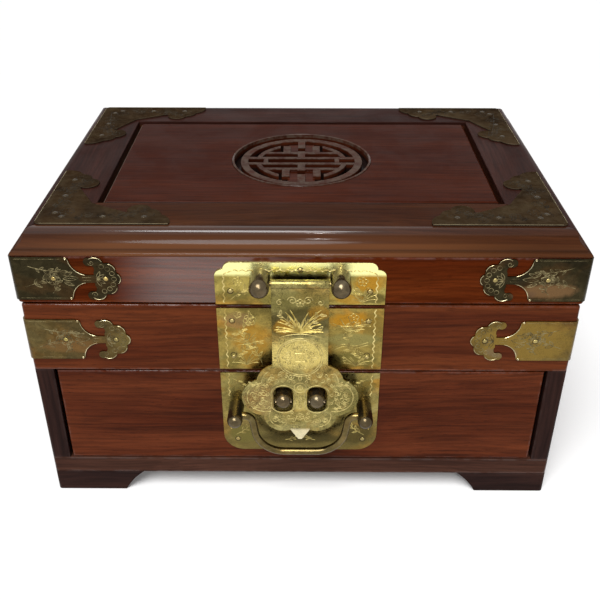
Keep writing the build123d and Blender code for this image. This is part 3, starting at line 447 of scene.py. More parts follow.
def rosewood(part, look, seed, edgeBox=None, edgeRub=wood["edgeRub"]):
    grainWay, colours, figureWidth, veining = look
    material, tree, shader, where = newMaterial("rosewood " + part)
    place = axesOf(tree, where)
    first, second, third = (place[name] for name in grainTurns[grainWay])
    along = put(tree, "CombineXYZ", {"X": first, "Y": second, "Z": third}).outputs[0]
    chance = random.Random(seed)
    offset = tuple(chance.uniform(-3.0, 3.0) for _ in range(3))
    grain = effect(tree, grainGroup, along, {"Offset": offset, "Figure Width": figureWidth})
    deep, middle, light = colours
    body = blendColours(tree, spanTo(tree, grain["Figure"], 0.34, 0.7), middle, light)
    veined = blendColours(tree, times(tree, grain["Veins"], veining), body, deep)
    shade = grey(tree, spanTo(tree, grain["Streaks"], 0.3, 0.7, *wood["streaks"]))
    streaked = blendColours(tree, 1.0, veined, shade, "MULTIPLY")
    pored = blendColours(tree, times(tree, grain["Pores"], wood["pores"]), streaked, deep)
    low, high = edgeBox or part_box(part)
    edgeValues = {"Low Corner": low, "High Corner": high, "Reach": wood["rubReach"]}
    edges = effect(tree, edgeRubGroup, where, edgeValues)["Rub"]
    # rubbed edges are paler and glossier than the board
    colour = blendColours(tree, times(tree, edges, edgeRub), pored, tuple(1.5 * c + 0.012 for c in light))
    gloss = spanTo(tree, edges, 0.0, 0.6, wood["coat"], edgePolish(part))
    if part == "lid_wall_front":
        gloss = wallGloss(tree, along, place, edges)
    if part.startswith("top_rail"):
        colour = mouldingColour(tree, place, colour)
        gloss = nosingGloss(tree, part, place, gloss)
    if part == "top_panel":
        colour = panelColour(tree, where, place, colour)
        gloss = reckon(tree, gloss, wood["topCoat"], "MINIMUM")
    if part == "fret_roundel":
        colour = roundelColour(tree, where, place, colour)
    smudges = noiseAt(tree, where, (38.0, 38.0, 38.0), 4.0, 0.6, 0.5)
    values = {
        "Base Color": colour,
        "Roughness": spanTo(tree, smudges, 0.3, 0.7, *wood["roughness"]),
        "Normal": bumpOf(tree, grain["Height"], wood["bump"], wood["bumpDepth"]),
        "Specular IOR Level": wood["specular"],
        "Coat IOR": wallSheen["coatIor"] if part == "lid_wall_front" else 1.5,
        "Coat Roughness": wood["coatRoughness"],
        "Coat Weight": gloss,
    }
    feed(tree, shader, values)
    return material


def dress(part, material):
    for slot in nodes[part].material_slots:
        slot.material = material


def softenEdges(part, width, segments=2):
    # weld the CAD faces, drop their flat triangles, then round the arrises
    weld = nodes[part].modifiers.new("join faces", "WELD")
    weld.merge_threshold = softening["merge"]
    flat = nodes[part].modifiers.new("plain faces", "DECIMATE")
    flat.decimate_type = "DISSOLVE"
    flat.angle_limit = math.radians(softening["flat"])
    bevel = nodes[part].modifiers.new("soft edges", "BEVEL")
    bevel.width = width
    bevel.segments = segments
    bevel.limit_method = "ANGLE"
    bevel.angle_limit = math.radians(softening["angle"])
    bevel.use_clamp_overlap = True


# the panel's box without its tongue, and open to the front and the rear, whose edges aren't rubbed
panelLow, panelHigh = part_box("top_panel")
inwards = Vector((panel["tongue"], -panel["openEnds"], 0.0))
panelEdges = (panelLow + inwards, panelHigh - inwards)
for seed, (part, look) in enumerate(sorted(boards.items())):
    if part == "top_panel":
        dress(part, rosewood(part, look, seed + wood["seed"], panelEdges, panel["edgeRub"]))
    else:
        dress(part, rosewood(part, look, seed + wood["seed"]))
    if part == "fret_roundel":
        softenEdges(part, roundel["bevel"], roundel["segments"])
    else:
        softenEdges(part, wood["bevel"])
print("box: rosewood is on", len(boards), "boards")

# brass: its ground colour, the warm, dark and pale ones that lie over it, and how much of each
plateGold = {
    "ground": (0.385, 0.300, 0.075),
    "warm": (0.420, 0.215, 0.034),
    "dark": (0.090, 0.074, 0.022),
    "pale": (0.520, 0.430, 0.130),
    "mottle": (0.74, 1.18),
    "specks": 0.4,
    "chasing": 0.3,
    "metallic": 1.0,
    "rimTint": (1.0, 1.0, 1.0, 1.0),
    "warmth": 0.75,
    "tarnish": 0.62,
    "paleness": 0.6,
    "patch": 1.0,
    "roughness": (0.20, 0.34),
    "bump": 0.07,
}
midGold = {**plateGold, "ground": (0.310, 0.228, 0.058), "pale": (0.340, 0.275, 0.090)}
drawerGold = {**plateGold, "ground": (0.275, 0.215, 0.064), "pale": (0.330, 0.280, 0.105), "tarnish": 0.7}
haspGold = {
    **plateGold,
    "ground": (0.305, 0.255, 0.088),
    "pale": (0.400, 0.345, 0.135),
    "warmth": 0.4,
    "tarnish": 0.55,
    "patch": 1.5,
    "chasing": 0.75,
}
lidStrapGold = {
    **plateGold,
    "ground": (0.033, 0.026, 0.012),
    "warm": (0.078, 0.038, 0.013),
    "dark": (0.013, 0.011, 0.007),
    "pale": (0.070, 0.057, 0.027),
    "warmth": 0.4,
    "tarnish": 0.6,
    "paleness": 0.3,
}
bodyStrapGold = {
    **plateGold,
    "ground": (0.112, 0.076, 0.026),
    "warm": (0.180, 0.086, 0.022),
    "dark": (0.056, 0.044, 0.020),
    "pale": (0.165, 0.130, 0.052),
    "warmth": 0.55,
    "tarnish": 0.5,
    "paleness": 0.4,
}
topCornerGold = {
    **plateGold,
    "ground": (0.078, 0.057, 0.036),
    "warm": (0.092, 0.062, 0.035),
    "dark": (0.042, 0.032, 0.023),
    "pale": (0.100, 0.079, 0.049),
    "warmth": 0.4,
    "tarnish": 0.5,
    "paleness": 0.35,
    "mottle": (0.95, 1.04),
    "rimTint": (0.22, 0.18, 0.15, 1.0),
    "specks": 0.1,
    "chasing": 0.12,
    "roughness": (0.42, 0.56),
}
knobBrass = {
    **plateGold,
    "ground": (0.110, 0.082, 0.044),
    "warm": (0.125, 0.082, 0.036),
    "dark": (0.050, 0.036, 0.019),
    "pale": (0.170, 0.140, 0.085),
    "warmth": 0.3,
    "tarnish": 0.5,
    "paleness": 0.4,
    "specks": 0.3,
    "chasing": 0.0,
    "metallic": 0.88,
    "roughness": (0.16, 0.28),
    "bump": 0.05,
}
bailBrass = {
    **knobBrass,
    "ground": (0.135, 0.100, 0.038),
    "warm": (0.155, 0.094, 0.028),
    "dark": (0.070, 0.052, 0.024),
    "pale": (0.240, 0.195, 0.085),
    "metallic": 1.0,
}
handleKnob = {
    **knobBrass,
    "ground": (0.085, 0.062, 0.030),
    "warm": (0.095, 0.060, 0.024),
    "pale": (0.140, 0.110, 0.060),
}
nailGold = {
    **plateGold,
    "ground": (0.420, 0.330, 0.130),
    "warmth": 0.3,
    "tarnish": 0.4,
    "bump": 0.03,
    "chasing": 0.0,
}
# the brass of each fitting and how far its edges are rounded, in mm
fittingSeed = 41
fittings = {
    "lid_plate": (plateGold, 0.12),
    "mid_plate": (midGold, 0.12),
    "drawer_plate": (drawerGold, 0.12),
    "hasp": (haspGold, 0.18),
    "hasp_pin": (bailBrass, 0.0),
    "lid_straps_front": (lidStrapGold, 0.14),
    "lid_straps_rear": (lidStrapGold, 0.14),
    "body_straps_front": (bodyStrapGold, 0.14),
    "body_straps_rear": (bodyStrapGold, 0.14),
    "top_corners_front": (topCornerGold, 0.14),
    "top_corners_rear": (topCornerGold, 0.14),
    "case_nails": (nailGold, 0.0),
    "lid_nails": (nailGold, 0.0),
    "drawer_nails": (nailGold, 0.0),
    "case_hinge_leaves": (bodyStrapGold, 0.14),
    "lid_hinge_leaves": (lidStrapGold, 0.14),
    "hinge_pins": (bodyStrapGold, 0.0),
    "lid_posts": (knobBrass, 0.0),
    "handle_posts": (handleKnob, 0.0),
    "staples": (knobBrass, 0.0),
    "bail": (bailBrass, 0.0),
}


def agedBrass(label, look, seed, heightStrip, patches):
    material, tree, shader, where = newMaterial("brass " + label)
    place = axesOf(tree, where)
    chance = random.Random(seed)
    layers = []
    for size in (look["patch"], look["patch"] * 0.8):
        offset = tuple(chance.uniform(-2.0, 2.0) for _ in range(3))
        layers.append(effect(tree, tarnishGroup, where, {"Offset": offset, "Patch Size": size}))
    age, warmAge = layers
    warmth = times(tree, spanTo(tree, warmAge["Patches"], 0.48, 0.62), look["warmth"])
    warmed = blendColours(tree, warmth, look["ground"], look["warm"])
    tarnish = times(tree, spanTo(tree, age["Patches"], 0.5, 0.66), look["tarnish"])
    tarnished = blendColours(tree, tarnish, warmed, look["dark"])
    paleness = times(tree, spanTo(tree, age["Patches"], 0.46, 0.34), look["paleness"])
    paled = blendColours(tree, paleness, tarnished, look["pale"])
    mottleShade = spanTo(tree, age["Mottle"], 0.3, 0.7, *look["mottle"])
    rubShade = spanTo(tree, age["Rubbing"], 0.3, 0.7, 0.95, 1.04)
    mottled = blendColours(tree, 1.0, paled, grey(tree, times(tree, mottleShade, rubShade)), "MULTIPLY")
    colour = blendColours(tree, times(tree, age["Specks"], look["specks"]), mottled, look["dark"])
    for x, z, across, tall, tint, amount in patches:
        sizes = {"Middle X": x * mm, "Middle Z": z * mm, "Half Width": across * mm, "Half Height": tall * mm}
        mask = effect(tree, patchGroup, where, sizes)["Mask"]
        colour = blendColours(tree, times(tree, mask, amount), colour, tint)
    relief = times(tree, age["Height"], look["bump"])
    if look["chasing"]:
        marks = effect(tree, chasingGroup, where, {"Amount": look["chasing"]})["Marks"]
        colour = blendColours(tree, marks, colour, tuple(0.4 * c for c in look["dark"]))
        relief = reckon(tree, relief, times(tree, marks, 0.7), "SUBTRACT")
    # a painted highlight strip beyond a height, or the darker tone of the top corners' nails
    if heightStrip:
        strip = times(tree, spanTo(tree, place["Z"], heightStrip["from"], heightStrip["to"]), heightStrip["amount"])
        strip = times(tree, strip, spanTo(tree, age["Mottle"], 0.2, 0.5, 0.75, 1.0))
        if "halfWidth" in heightStrip:
            aside = absolute(tree, place["X"])
            outside = heightStrip["halfWidth"] + heightStrip["rim"]
            strip = times(tree, strip, spanTo(tree, aside, outside, heightStrip["halfWidth"]))
        colour = blendColours(tree, strip, colour, heightStrip["colour"])
    values = {
        "Base Color": colour,
        "Roughness": spanTo(tree, age["Mottle"], 0.3, 0.7, *look["roughness"]),
        "Normal": bumpOf(tree, relief, 1.0, 0.1 * mm),
        "Metallic": look["metallic"],
        "Specular Tint": look["rimTint"],
    }
    feed(tree, shader, values)
    return material


# beyond a height: a painted highlight on the lid plate's top strip and on the hasp's curled lip, and the dark
# tone of the top corners' nails; where it starts and is full
highlightStripsAndDarkNails = {
    "lid_plate": {"from": 154.4 * mm, "to": 157.0 * mm, "amount": 1.0, "colour": (1.0, 0.97, 0.42)},
    "lid_nails": {"from": 178.4 * mm, "to": 178.9 * mm, "amount": 1.0, "colour": (0.070, 0.055, 0.038)},
    "hasp": {
        "from": 58.4 * mm,
        "to": 56.2 * mm,
        "halfWidth": 5.2 * mm,
        "rim": 0.8 * mm,
        "amount": 0.75,
        "colour": (0.86, 0.76, 0.50),
    },
}
orangeBloom, roseBloom = (0.430, 0.205, 0.016), (0.270, 0.165, 0.070)
paleBloom, oliveTarnishAndShade, darkTarnishAndShade = (0.275, 0.235, 0.075), (0.150, 0.128, 0.034), (0.062, 0.048, 0.016)
brightBloom, bailShade = (0.720, 0.570, 0.180), (0.130, 0.098, 0.032)
# of each patch of tarnish or painted shade: x, height, half width and half height in mm, tint and strength
tarnishAndShadePatches = {
    "lid_plate": (
        (36.0, 151.0, 8.0, 6.0, orangeBloom, 0.85),
        (38.0, 141.5, 9.0, 3.4, darkTarnishAndShade, 0.7),
        (26.5, 141.0, 9.0, 3.4, orangeBloom, 0.6),
        (-38.5, 142.0, 8.0, 3.4, oliveTarnishAndShade, 0.6),
        (-24.0, 141.5, 9.0, 3.6, oliveTarnishAndShade, 0.5),
        # painted shade behind the hasp's pin bar, between the posts
        (0.0, 154.6, 18.0, 2.4, darkTarnishAndShade, 0.7),
    ),
    "mid_plate": (
        (28.0, 127.0, 13.0, 5.0, orangeBloom, 0.85),
        (40.0, 122.0, 7.0, 12.0, oliveTarnishAndShade, 0.6),
        (30.0, 114.5, 15.0, 4.6, paleBloom, 0.85),
        (30.0, 101.0, 15.0, 5.5, oliveTarnishAndShade, 0.7),
        (-27.0, 113.0, 10.0, 13.0, orangeBloom, 0.5),
        (-34.0, 127.0, 9.0, 5.5, roseBloom, 0.6),
        (-39.0, 101.0, 6.0, 6.0, oliveTarnishAndShade, 0.6),
    ),
    "drawer_plate": (
        # the umber patch and the low ones at 43 to 46 mm are painted shade where the bail hangs in front of the
        # plate
        (0.0, 44.0, 60.0, 15.0, bailShade, 0.8),
        (-36.0, 84.0, 8.0, 7.0, paleBloom, 0.5),
        (36.0, 82.0, 8.0, 6.0, oliveTarnishAndShade, 0.6),
        (-33.0, 46.0, 10.0, 7.0, oliveTarnishAndShade, 0.8),
        (33.0, 46.0, 11.0, 8.0, darkTarnishAndShade, 0.7),
        (0.0, 43.0, 26.0, 5.0, darkTarnishAndShade, 0.85),
    ),
    "body_straps_front": (
        (124.0, 113.5, 30.0, 16.0, (0.250, 0.160, 0.034), 0.8),
        (112.0, 106.0, 9.0, 4.0, (0.170, 0.120, 0.075), 0.6),
        (-126.0, 109.0, 18.0, 4.5, (0.200, 0.105, 0.036), 0.55),
        (-96.0, 113.0, 9.0, 6.0, (0.170, 0.135, 0.045), 0.5),
    ),
    "lid_straps_front": (
        (131.0, 146.5, 16.0, 4.5, (0.190, 0.105, 0.045), 0.8),
        (118.0, 144.0, 7.0, 3.0, (0.130, 0.075, 0.040), 0.7),
    ),
    "hasp": (
        (0.0, 143.0, 22.0, 8.0, oliveTarnishAndShade, 0.6),
        (0.0, 131.0, 21.0, 10.0, darkTarnishAndShade, 0.8),
        (-8.0, 128.0, 7.0, 5.0, orangeBloom, 0.6),
        (10.0, 137.0, 6.0, 5.0, orangeBloom, 0.45),
        (-2.0, 110.0, 20.0, 10.5, brightBloom, 0.9),
        (0.0, 79.0, 5.0, 10.0, brightBloom, 0.45),
        (-21.0, 79.0, 12.0, 11.0, roseBloom, 0.5),
        (24.0, 77.0, 12.0, 11.0, oliveTarnishAndShade, 0.5),
        (0.0, 66.0, 14.0, 5.0, paleBloom, 0.6),
    ),
}
for seed, (part, (look, edge)) in enumerate(sorted(fittings.items())):
    dress(part, agedBrass(part, look, seed + fittingSeed, highlightStripsAndDarkNails.get(part), tarnishAndShadePatches.get(part, ())))
    if edge:
        softenEdges(part, edge * mm)
print("box: aged brass is on", len(fittings), "fittings")


# line work, drawn in millimetres on each plate and raised a hair so that it catches the light


def towards(angle):
    turn = math.radians(angle)
    return Vector((math.cos(turn), math.sin(turn)))


def leftOf(way):
    return Vector((-way.y, way.x))


def smoothLine(points, steps=5):
    # a smooth line through a few points
    ends = [points[0], *points, points[-1]]
    line = []
    for index in range(1, len(ends) - 2):
        before, start, stop, after = (Vector(ends[index + k]) for k in (-1, 0, 1, 2))
        for step in range(steps):
            t = step / steps
            bend = 2 * before - 5 * start + 4 * stop - after
            twist = 3 * start - before - 3 * stop + after
            line.append(0.5 * (2 * start + (stop - before) * t + bend * t * t + twist * t**3))
    line.append(Vector(points[-1]))
    return line


def wavyLine(start, stop, pitch=4.0, swing=0.45):
    start, stop = Vector(start), Vector(stop)
    length = (stop - start).length
    way = (stop - start) / length
    side = leftOf(way)
    count = max(4, int(length / pitch * 6))
    line = []
    for step in range(count + 1):
        reach = length * step / count
        line.append(start + way * reach + side * swing * math.sin(2 * math.pi * reach / pitch))
    return line


def arcLine(centre, radius, start, stop):
    count = max(6, int(abs(stop - start) / 12))
    line = []
    for step in range(count + 1):
        line.append(Vector(centre) + radius * towards(start + (stop - start) * step / count))
    return line


def curl(centre, radius, start, turns, hand=1):
    # a scroll that winds in to its middle
    count = int(turns * 16)
    line = []
    for step in range(count + 1):
        part = step / count
        turn = math.radians(start) + hand * part * turns * 2 * math.pi
        reach = radius * (1 - 0.82 * part)
        line.append(Vector((centre[0] + reach * math.cos(turn), centre[1] + reach * math.sin(turn))))
    return line


def leaf(root, angle, length, width, vein=True):
    # a pointed leaf and its middle vein
    way = towards(angle)
    side = leftOf(way)
    root = Vector(root)
    profile = ((0, 0), (0.25, 0.75), (0.5, 1.0), (0.78, 0.6), (1.0, 0.0))
    lines = []
    for hand in (1, -1):
        edge = [root + way * length * u + side * hand * width / 2 * v for u, v in profile]
        lines.append(smoothLine(edge, 3))
    if vein:
        lines.append([root + way * length * 0.15, root + way * length * 0.8])
    return lines


def blossom(centre, radius, count, turn=0.0, heart=True):
    # a ring of petals round a small heart
    lines = []
    for petal in range(count):
        angle = turn + 360.0 * petal / count
        middle = Vector(centre) + radius * 0.62 * towards(angle)
        lines.append(arcLine(middle, radius * 0.42, angle - 120, angle + 120))
    if heart:
        lines.append(arcLine(centre, radius * 0.24, 0, 360))
    return lines


def spray(root, angle, length, leaves, leafLength, bend, seed, leafWidth=0.32):
    # a bent stem with leaves on both sides
    chance = random.Random(seed)
    heading = math.radians(angle)
    point = Vector(root)
    stem = [point.copy()]
    steps = 8
    for step in range(steps):
        heading += math.radians(bend) / steps
        point = point + Vector((math.cos(heading), math.sin(heading))) * length / steps
        stem.append(point.copy())
    lines = [smoothLine(stem, 2)]
    for index in range(leaves):
        reach = 1 + index * (steps - 1) / max(1, leaves)
        at = stem[min(steps, int(reach) + 1)]
        hand = 1 if index % 2 else -1
        way = angle + bend * reach / steps + hand * chance.uniform(28, 52)
        size = leafLength * chance.uniform(0.75, 1.15)
        lines += leaf(at, way, size, size * leafWidth, vein=size > 3.0)
    return lines


def addObject(label, data):
    added = bpy.data.objects.new(label, data)
    bpy.context.scene.collection.objects.link(added)
    return added


def engrave(label, body, jobs, finish):
    # thin ridges with a roof-shaped section along every line, all in one piece
    verts, faces = [], []
    for lines, place, width, rise in jobs:
        for line in lines:
            count = len(line)
            base = len(verts)
            for index, point in enumerate(line):
                way = Vector(line[min(index + 1, count - 1)]) - Vector(line[max(index - 1, 0)])
                if way.length < 1e-9:
                    way = Vector((1.0, 0.0))
                way.normalize()
                across = leftOf(way)
                taper = 0.45 if index in (0, count - 1) else 1.0
                for offset, height in ((-0.5, -0.02), (0.0, rise * taper), (0.5, -0.02)):
                    spot = Vector(point) + across * offset * width * taper
                    verts.append(place(spot.x, spot.y, height))
                if index:
                    last = base + 3 * (index - 1)
                    for near, far in ((0, 1), (1, 2), (2, 0)):
                        faces.append((last + near, last + far, last + 3 + far, last + 3 + near))
            faces += [(base + 2, base + 1, base), tuple(base + 3 * (count - 1) + k for k in range(3))]
    mesh = bpy.data.meshes.new(label)
    mesh.from_pydata(verts, [], faces)
    mesh.materials.append(finish)
    piece = addObject(label, mesh)
    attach(piece, body)


def keepInside(lines, inside):
    # only the stretches of each line that lie on the metal
    kept = []
    for line in lines:
        run = []
        for point in line:
            if inside(point[0], point[1]):
                run.append(point)
            else:
                if len(run) > 1:
                    kept.append(run)
                run = []
        if len(run) > 1:
            kept.append(run)
    return kept


def fanBlades(root, angles, lengths, bend, seed):
    # long curved blades that spring from one root
    chance = random.Random(seed)
    lines = []
    for angle in angles:
        heading = math.radians(angle + chance.uniform(-4, 4))
        point = Vector(root)
        line = [point.copy()]
        turn = math.radians(bend * (1 if angle < 90 else -1) * chance.uniform(0.5, 1.3))
        length = chance.uniform(*lengths)
        for step in range(8):
            heading -= turn / 8
            point = point + Vector((math.cos(heading), math.sin(heading))) * length / 8
            line.append(point.copy())
        lines.append(line)
    return lines


def scrollField(low, high, pitch, radius, inside, seed):
    # small scrolls set close together wherever the ground is free
    chance = random.Random(seed)
    lines = []
    rowHeight = pitch * 0.87
    for row in range(int((high[1] - low[1]) / rowHeight) + 1):
        z = low[1] + row * rowHeight
        x = low[0] + (pitch / 2 if row % 2 else 0.0)
        while x <= high[0]:
            spot = (x + chance.uniform(-0.35, 0.35), z + chance.uniform(-0.35, 0.35))
            if inside(*spot):
                size, start = radius * chance.uniform(0.8, 1.15), chance.uniform(0, 360)
                lines.append(curl(spot, size, start, chance.uniform(1.0, 1.5), chance.choice((-1, 1))))
            x += pitch
    return lines


groove = {"spread": 2.1, "rise": 0.012}


def carve(label, body, jobs, finish, ground):
    # a wider dark strip of painted shade along each line, with its bright ridge in the middle
    wide = [(lines, place, groove["spread"] * width, groove["rise"]) for lines, place, width, rise in jobs]
    engrave(label + "_line_shade", body, wide, ground)
    engrave(label + "_engraving", body, jobs, finish)


def onFront(faceY):
    return lambda x, z, out: Vector((x * mm, faceY - out * mm, z * mm))


def cutLine(label, colour, dark, roughness):
    # a worked line, bright where it is rubbed and dark where the tarnish holds
    material, tree, shader, where = newMaterial(label)
    worn = noiseAt(tree, where, (260.0, 260.0, 260.0), 3.0, 0.6)
    values = {
        "Base Color": blendColours(tree, spanTo(tree, worn, 0.38, 0.62), colour, dark),
        "Roughness": spanTo(tree, worn, 0.3, 0.7, roughness, roughness + 0.2),
        "Metallic": 1.0,
    }
    feed(tree, shader, values)
    return material


# the next two materials are painted shade along the engraved lines
plateLineShade = cutLine("painted shade along the plate lines", (0.110, 0.084, 0.026), (0.060, 0.046, 0.018), 0.4)
haspLineShade = cutLine("painted shade along the hasp lines", (0.062, 0.048, 0.016), (0.036, 0.028, 0.011), 0.4)
bladeLine = cutLine("bright blade on the hasp", (0.700, 0.550, 0.170), (0.330, 0.240, 0.060), 0.3)
fineLine = cutLine("fine line on the plates", (0.560, 0.450, 0.150), (0.250, 0.190, 0.060), 0.3)
plateLine = cutLine("cut line on the plates", (0.80, 0.66, 0.27), (0.42, 0.31, 0.09), 0.32)
haspLine = cutLine("cut line on the hasp", (0.600, 0.500, 0.200), (0.320, 0.250, 0.090), 0.38)
seatLine = cutLine("grime round the nails", (0.030, 0.022, 0.012), (0.060, 0.042, 0.020), 0.5)
# painted highlight for the rims of the straps and the top corners
rimHighlight = cutLine("painted rim highlight", (0.80, 0.72, 0.44), (0.40, 0.33, 0.18), 0.22)
strapLine = cutLine("cut line on the straps", (0.24, 0.20, 0.10), (0.070, 0.054, 0.025), 0.4)
cornerLine = cutLine("cut line on the top corners", (0.040, 0.032, 0.020), (0.014, 0.011, 0.008), 0.6)

# the plates' drawing in mm: where the border runs, and the width and rise of its bold and its fine lines
plateArt = {"border": 40.6, "width": 0.72, "rise": 0.16, "fineWidth": 0.42, "fineRise": 0.11}
edgeX = plateArt["border"]


def carvePlate(part, body, border, sprays):
    way = onFront(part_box(part)[0].y)
    bold = [(border, way, plateArt["width"], plateArt["rise"])]
    fine = [(sprays, way, plateArt["fineWidth"], plateArt["fineRise"])]
    carve(part + "_border", body, bold, plateLine, plateLineShade)
    carve(part + "_sprays", body, fine, fineLine, plateLineShade)


lidBorder = [
    *(wavyLine((side * edgeX, 138.4), (side * edgeX, 154.6)) for side in (-1, 1)),
    *(arcLine((side * (edgeX - 2.4), 154.8), 2.4, 90 - side * 90, 90) for side in (-1, 1)),
    *(smoothLine([(side * 38.2, 157.2), (side * 36.6, 158.0), (side * 35.4, 158.4)], 3) for side in (-1, 1)),
    wavyLine((-35.4, 158.4), (35.4, 158.4)),
]
lidFine = []
for side in (-1, 1):
    lidFine += spray((side * 37.5, 140.2), 90 + side * 42, 16.0, 7, 3.6, side * 26, 5 + side)
    lidFine += blossom((side * 33.0, 151.8), 2.6, 5, 12.0)
    lidFine.append(curl((side * 29.8, 145.6), 2.2, 40, 1.3, side))
    lidFine.append(curl((side * 36.3, 147.0), 1.5, 200, 1.1, -side))
lidFine += fanBlades((33.0, 139.0), range(36, 150, 14), (5.0, 11.0), 30, 139)
carvePlate("lid_plate", "lid", lidBorder, lidFine)

midBorder = [wavyLine((side * edgeX, 95.2), (side * edgeX, 134.2)) for side in (-1, 1)]
midFine = []
# grass blades between the branches: their root, and the first angle, the last one and the step between them
grass = (
    ((-30.0, 97.0), 38, 150, 12),
    ((-29.0, 110.5), 30, 158, 14),
    ((26.0, 119.5), 20, 150, 13),
    ((31.0, 96.5), 34, 150, 12),
)
for root, first, last, step in grass:
    midFine += fanBlades(root, range(first, last, step), (5.0, 10.5), 32, int(root[1]))
midFine += spray((-38.0, 98.5), 62, 20.0, 9, 4.4, -34, 21)
midFine += spray((-21.0, 97.5), 104, 24.0, 10, 4.6, 30, 22)
midFine += spray((-36.5, 116.0), 38, 17.0, 8, 3.8, 30, 23)
midFine += blossom((-27.5, 127.0), 3.4, 6, 10.0) + blossom((-34.0, 130.5), 2.0, 5, 40.0)
midFine += spray((19.5, 113.0), 28, 19.0, 8, 3.6, 22, 24)
midFine += spray((20.5, 123.5), -8, 17.0, 8, 3.6, 24, 25)
for drop in (0, 1.6):
    bank = [(18.8, 109.2 - drop), (24.0, 111.4 - drop), (30.0, 110.2 - drop), (37.5, 112.6 - drop)]
    midFine.append(smoothLine(bank, 4))
midFine += spray((37.0, 97.5), 118, 15.0, 7, 4.2, 26, 26)
midFine += blossom((29.0, 128.5), 2.8, 5, 20.0)
midFine += [curl((33.5, 104.0), 2.0, 30, 1.3), curl((24.5, 101.0), 1.8, 150, 1.2, -1)]
carvePlate("mid_plate", "case", midBorder, midFine)

drawerBorder = [wavyLine((side * edgeX, 74.5), (side * edgeX, 90.6)) for side in (-1, 1)]
drawerBorder += [wavyLine((side * edgeX, 49.5), (side * edgeX, 59.0), 4.0, 0.3) for side in (-1, 1)]
drawerFine = []
for side in (-1, 1):
    drawerFine += spray((side * 38.4, 87.0), 90 + side * 120, 9.0, 5, 3.0, side * 20, 31 + side)
    drawerFine += spray((side * 38.0, 45.5), 90 + side * 62, 13.0, 6, 3.2, -side * 26, 35 + side)
drawerFine += spray((-9.0, 41.5), 8, 9.0, 5, 2.8, 26, 38) + spray((9.0, 41.5), 172, 9.0, 5, 2.8, -26, 39)
carvePlate("drawer_plate", "drawer", drawerBorder, drawerFine)

# hasp: a bouquet over an arc, a ring with a square and four leaves, a rosette, and scrolls round the slots;
# places are x and height in mm, and bold, fine and blade give the width and rise of the lines
haspArt = {
    "face": -107.45 * mm,
    "head": (0.0, 79.0),
    "border": 2.9,
    "coin": (0.0, 108.0),
    "coinRings": (12.7, 11.6),
    "square": 2.7,
    "rosette": (0.0, 87.2),
    "rosetteRings": (3.4, 1.5),
    "lowBlossom": (0.0, 66.6),
    "bouquet": (0.0, 124.0),
    "slotX": 9.5,
    "slotRim": (
        (-6.6, 0.0),
        (-6.2, 6.6),
        (0.0, 9.8),
        (6.2, 6.6),
        (6.6, 0.0),
        (6.2, -6.6),
        (0.0, -9.8),
        (-6.2, -6.6),
        (-6.6, 0.0),
    ),
    "slotClear": (7.7, 11.1),
    "clear": {"coin": 14.2, "rosette": 4.8, "lowBlossom": 3.4},
    "edgeClear": 4.6,
    "scrolls": {"low": (-32.0, 60.0), "high": (32.0, 100.0), "pitch": 3.7, "radius": 1.55, "seed": 9},
    "neckHalf": 14.3,
    "neckTop": 149.5,
    "neckFoot": 101.0,
    "headFoot": 60.5,
    "bold": (0.62, 0.16),
    "fine": (0.46, 0.12),
    "blade": (0.68, 0.18),
}
# the six rounds of the head's outline: x, height and radius
haspRounds = [
    (side * x, z, radius)
    for x, z, radius in ((12.5, 91.2, 11.7), (19.8, 80.3, 13.1), (9.8, 66.8, 10.8))
    for side in (-1, 1)
]


def headOutline(inset, start, stop):
    # the head's own outline drawn in by a margin, seen from its middle
    middle = Vector(haspArt["head"])
    line = []
    for step in range(start, stop + 1, 3):
        way = towards(step)
        furthest = 0.0
        for x, z, radius in haspRounds:
            gap = Vector((x, z)) - middle
            along = gap.dot(way)
            inside = (radius - inset) ** 2 - (gap.length_squared - along**2)
            if inside > 0:
                furthest = max(furthest, along + math.sqrt(inside))
        line.append(middle + way * furthest)
    return line


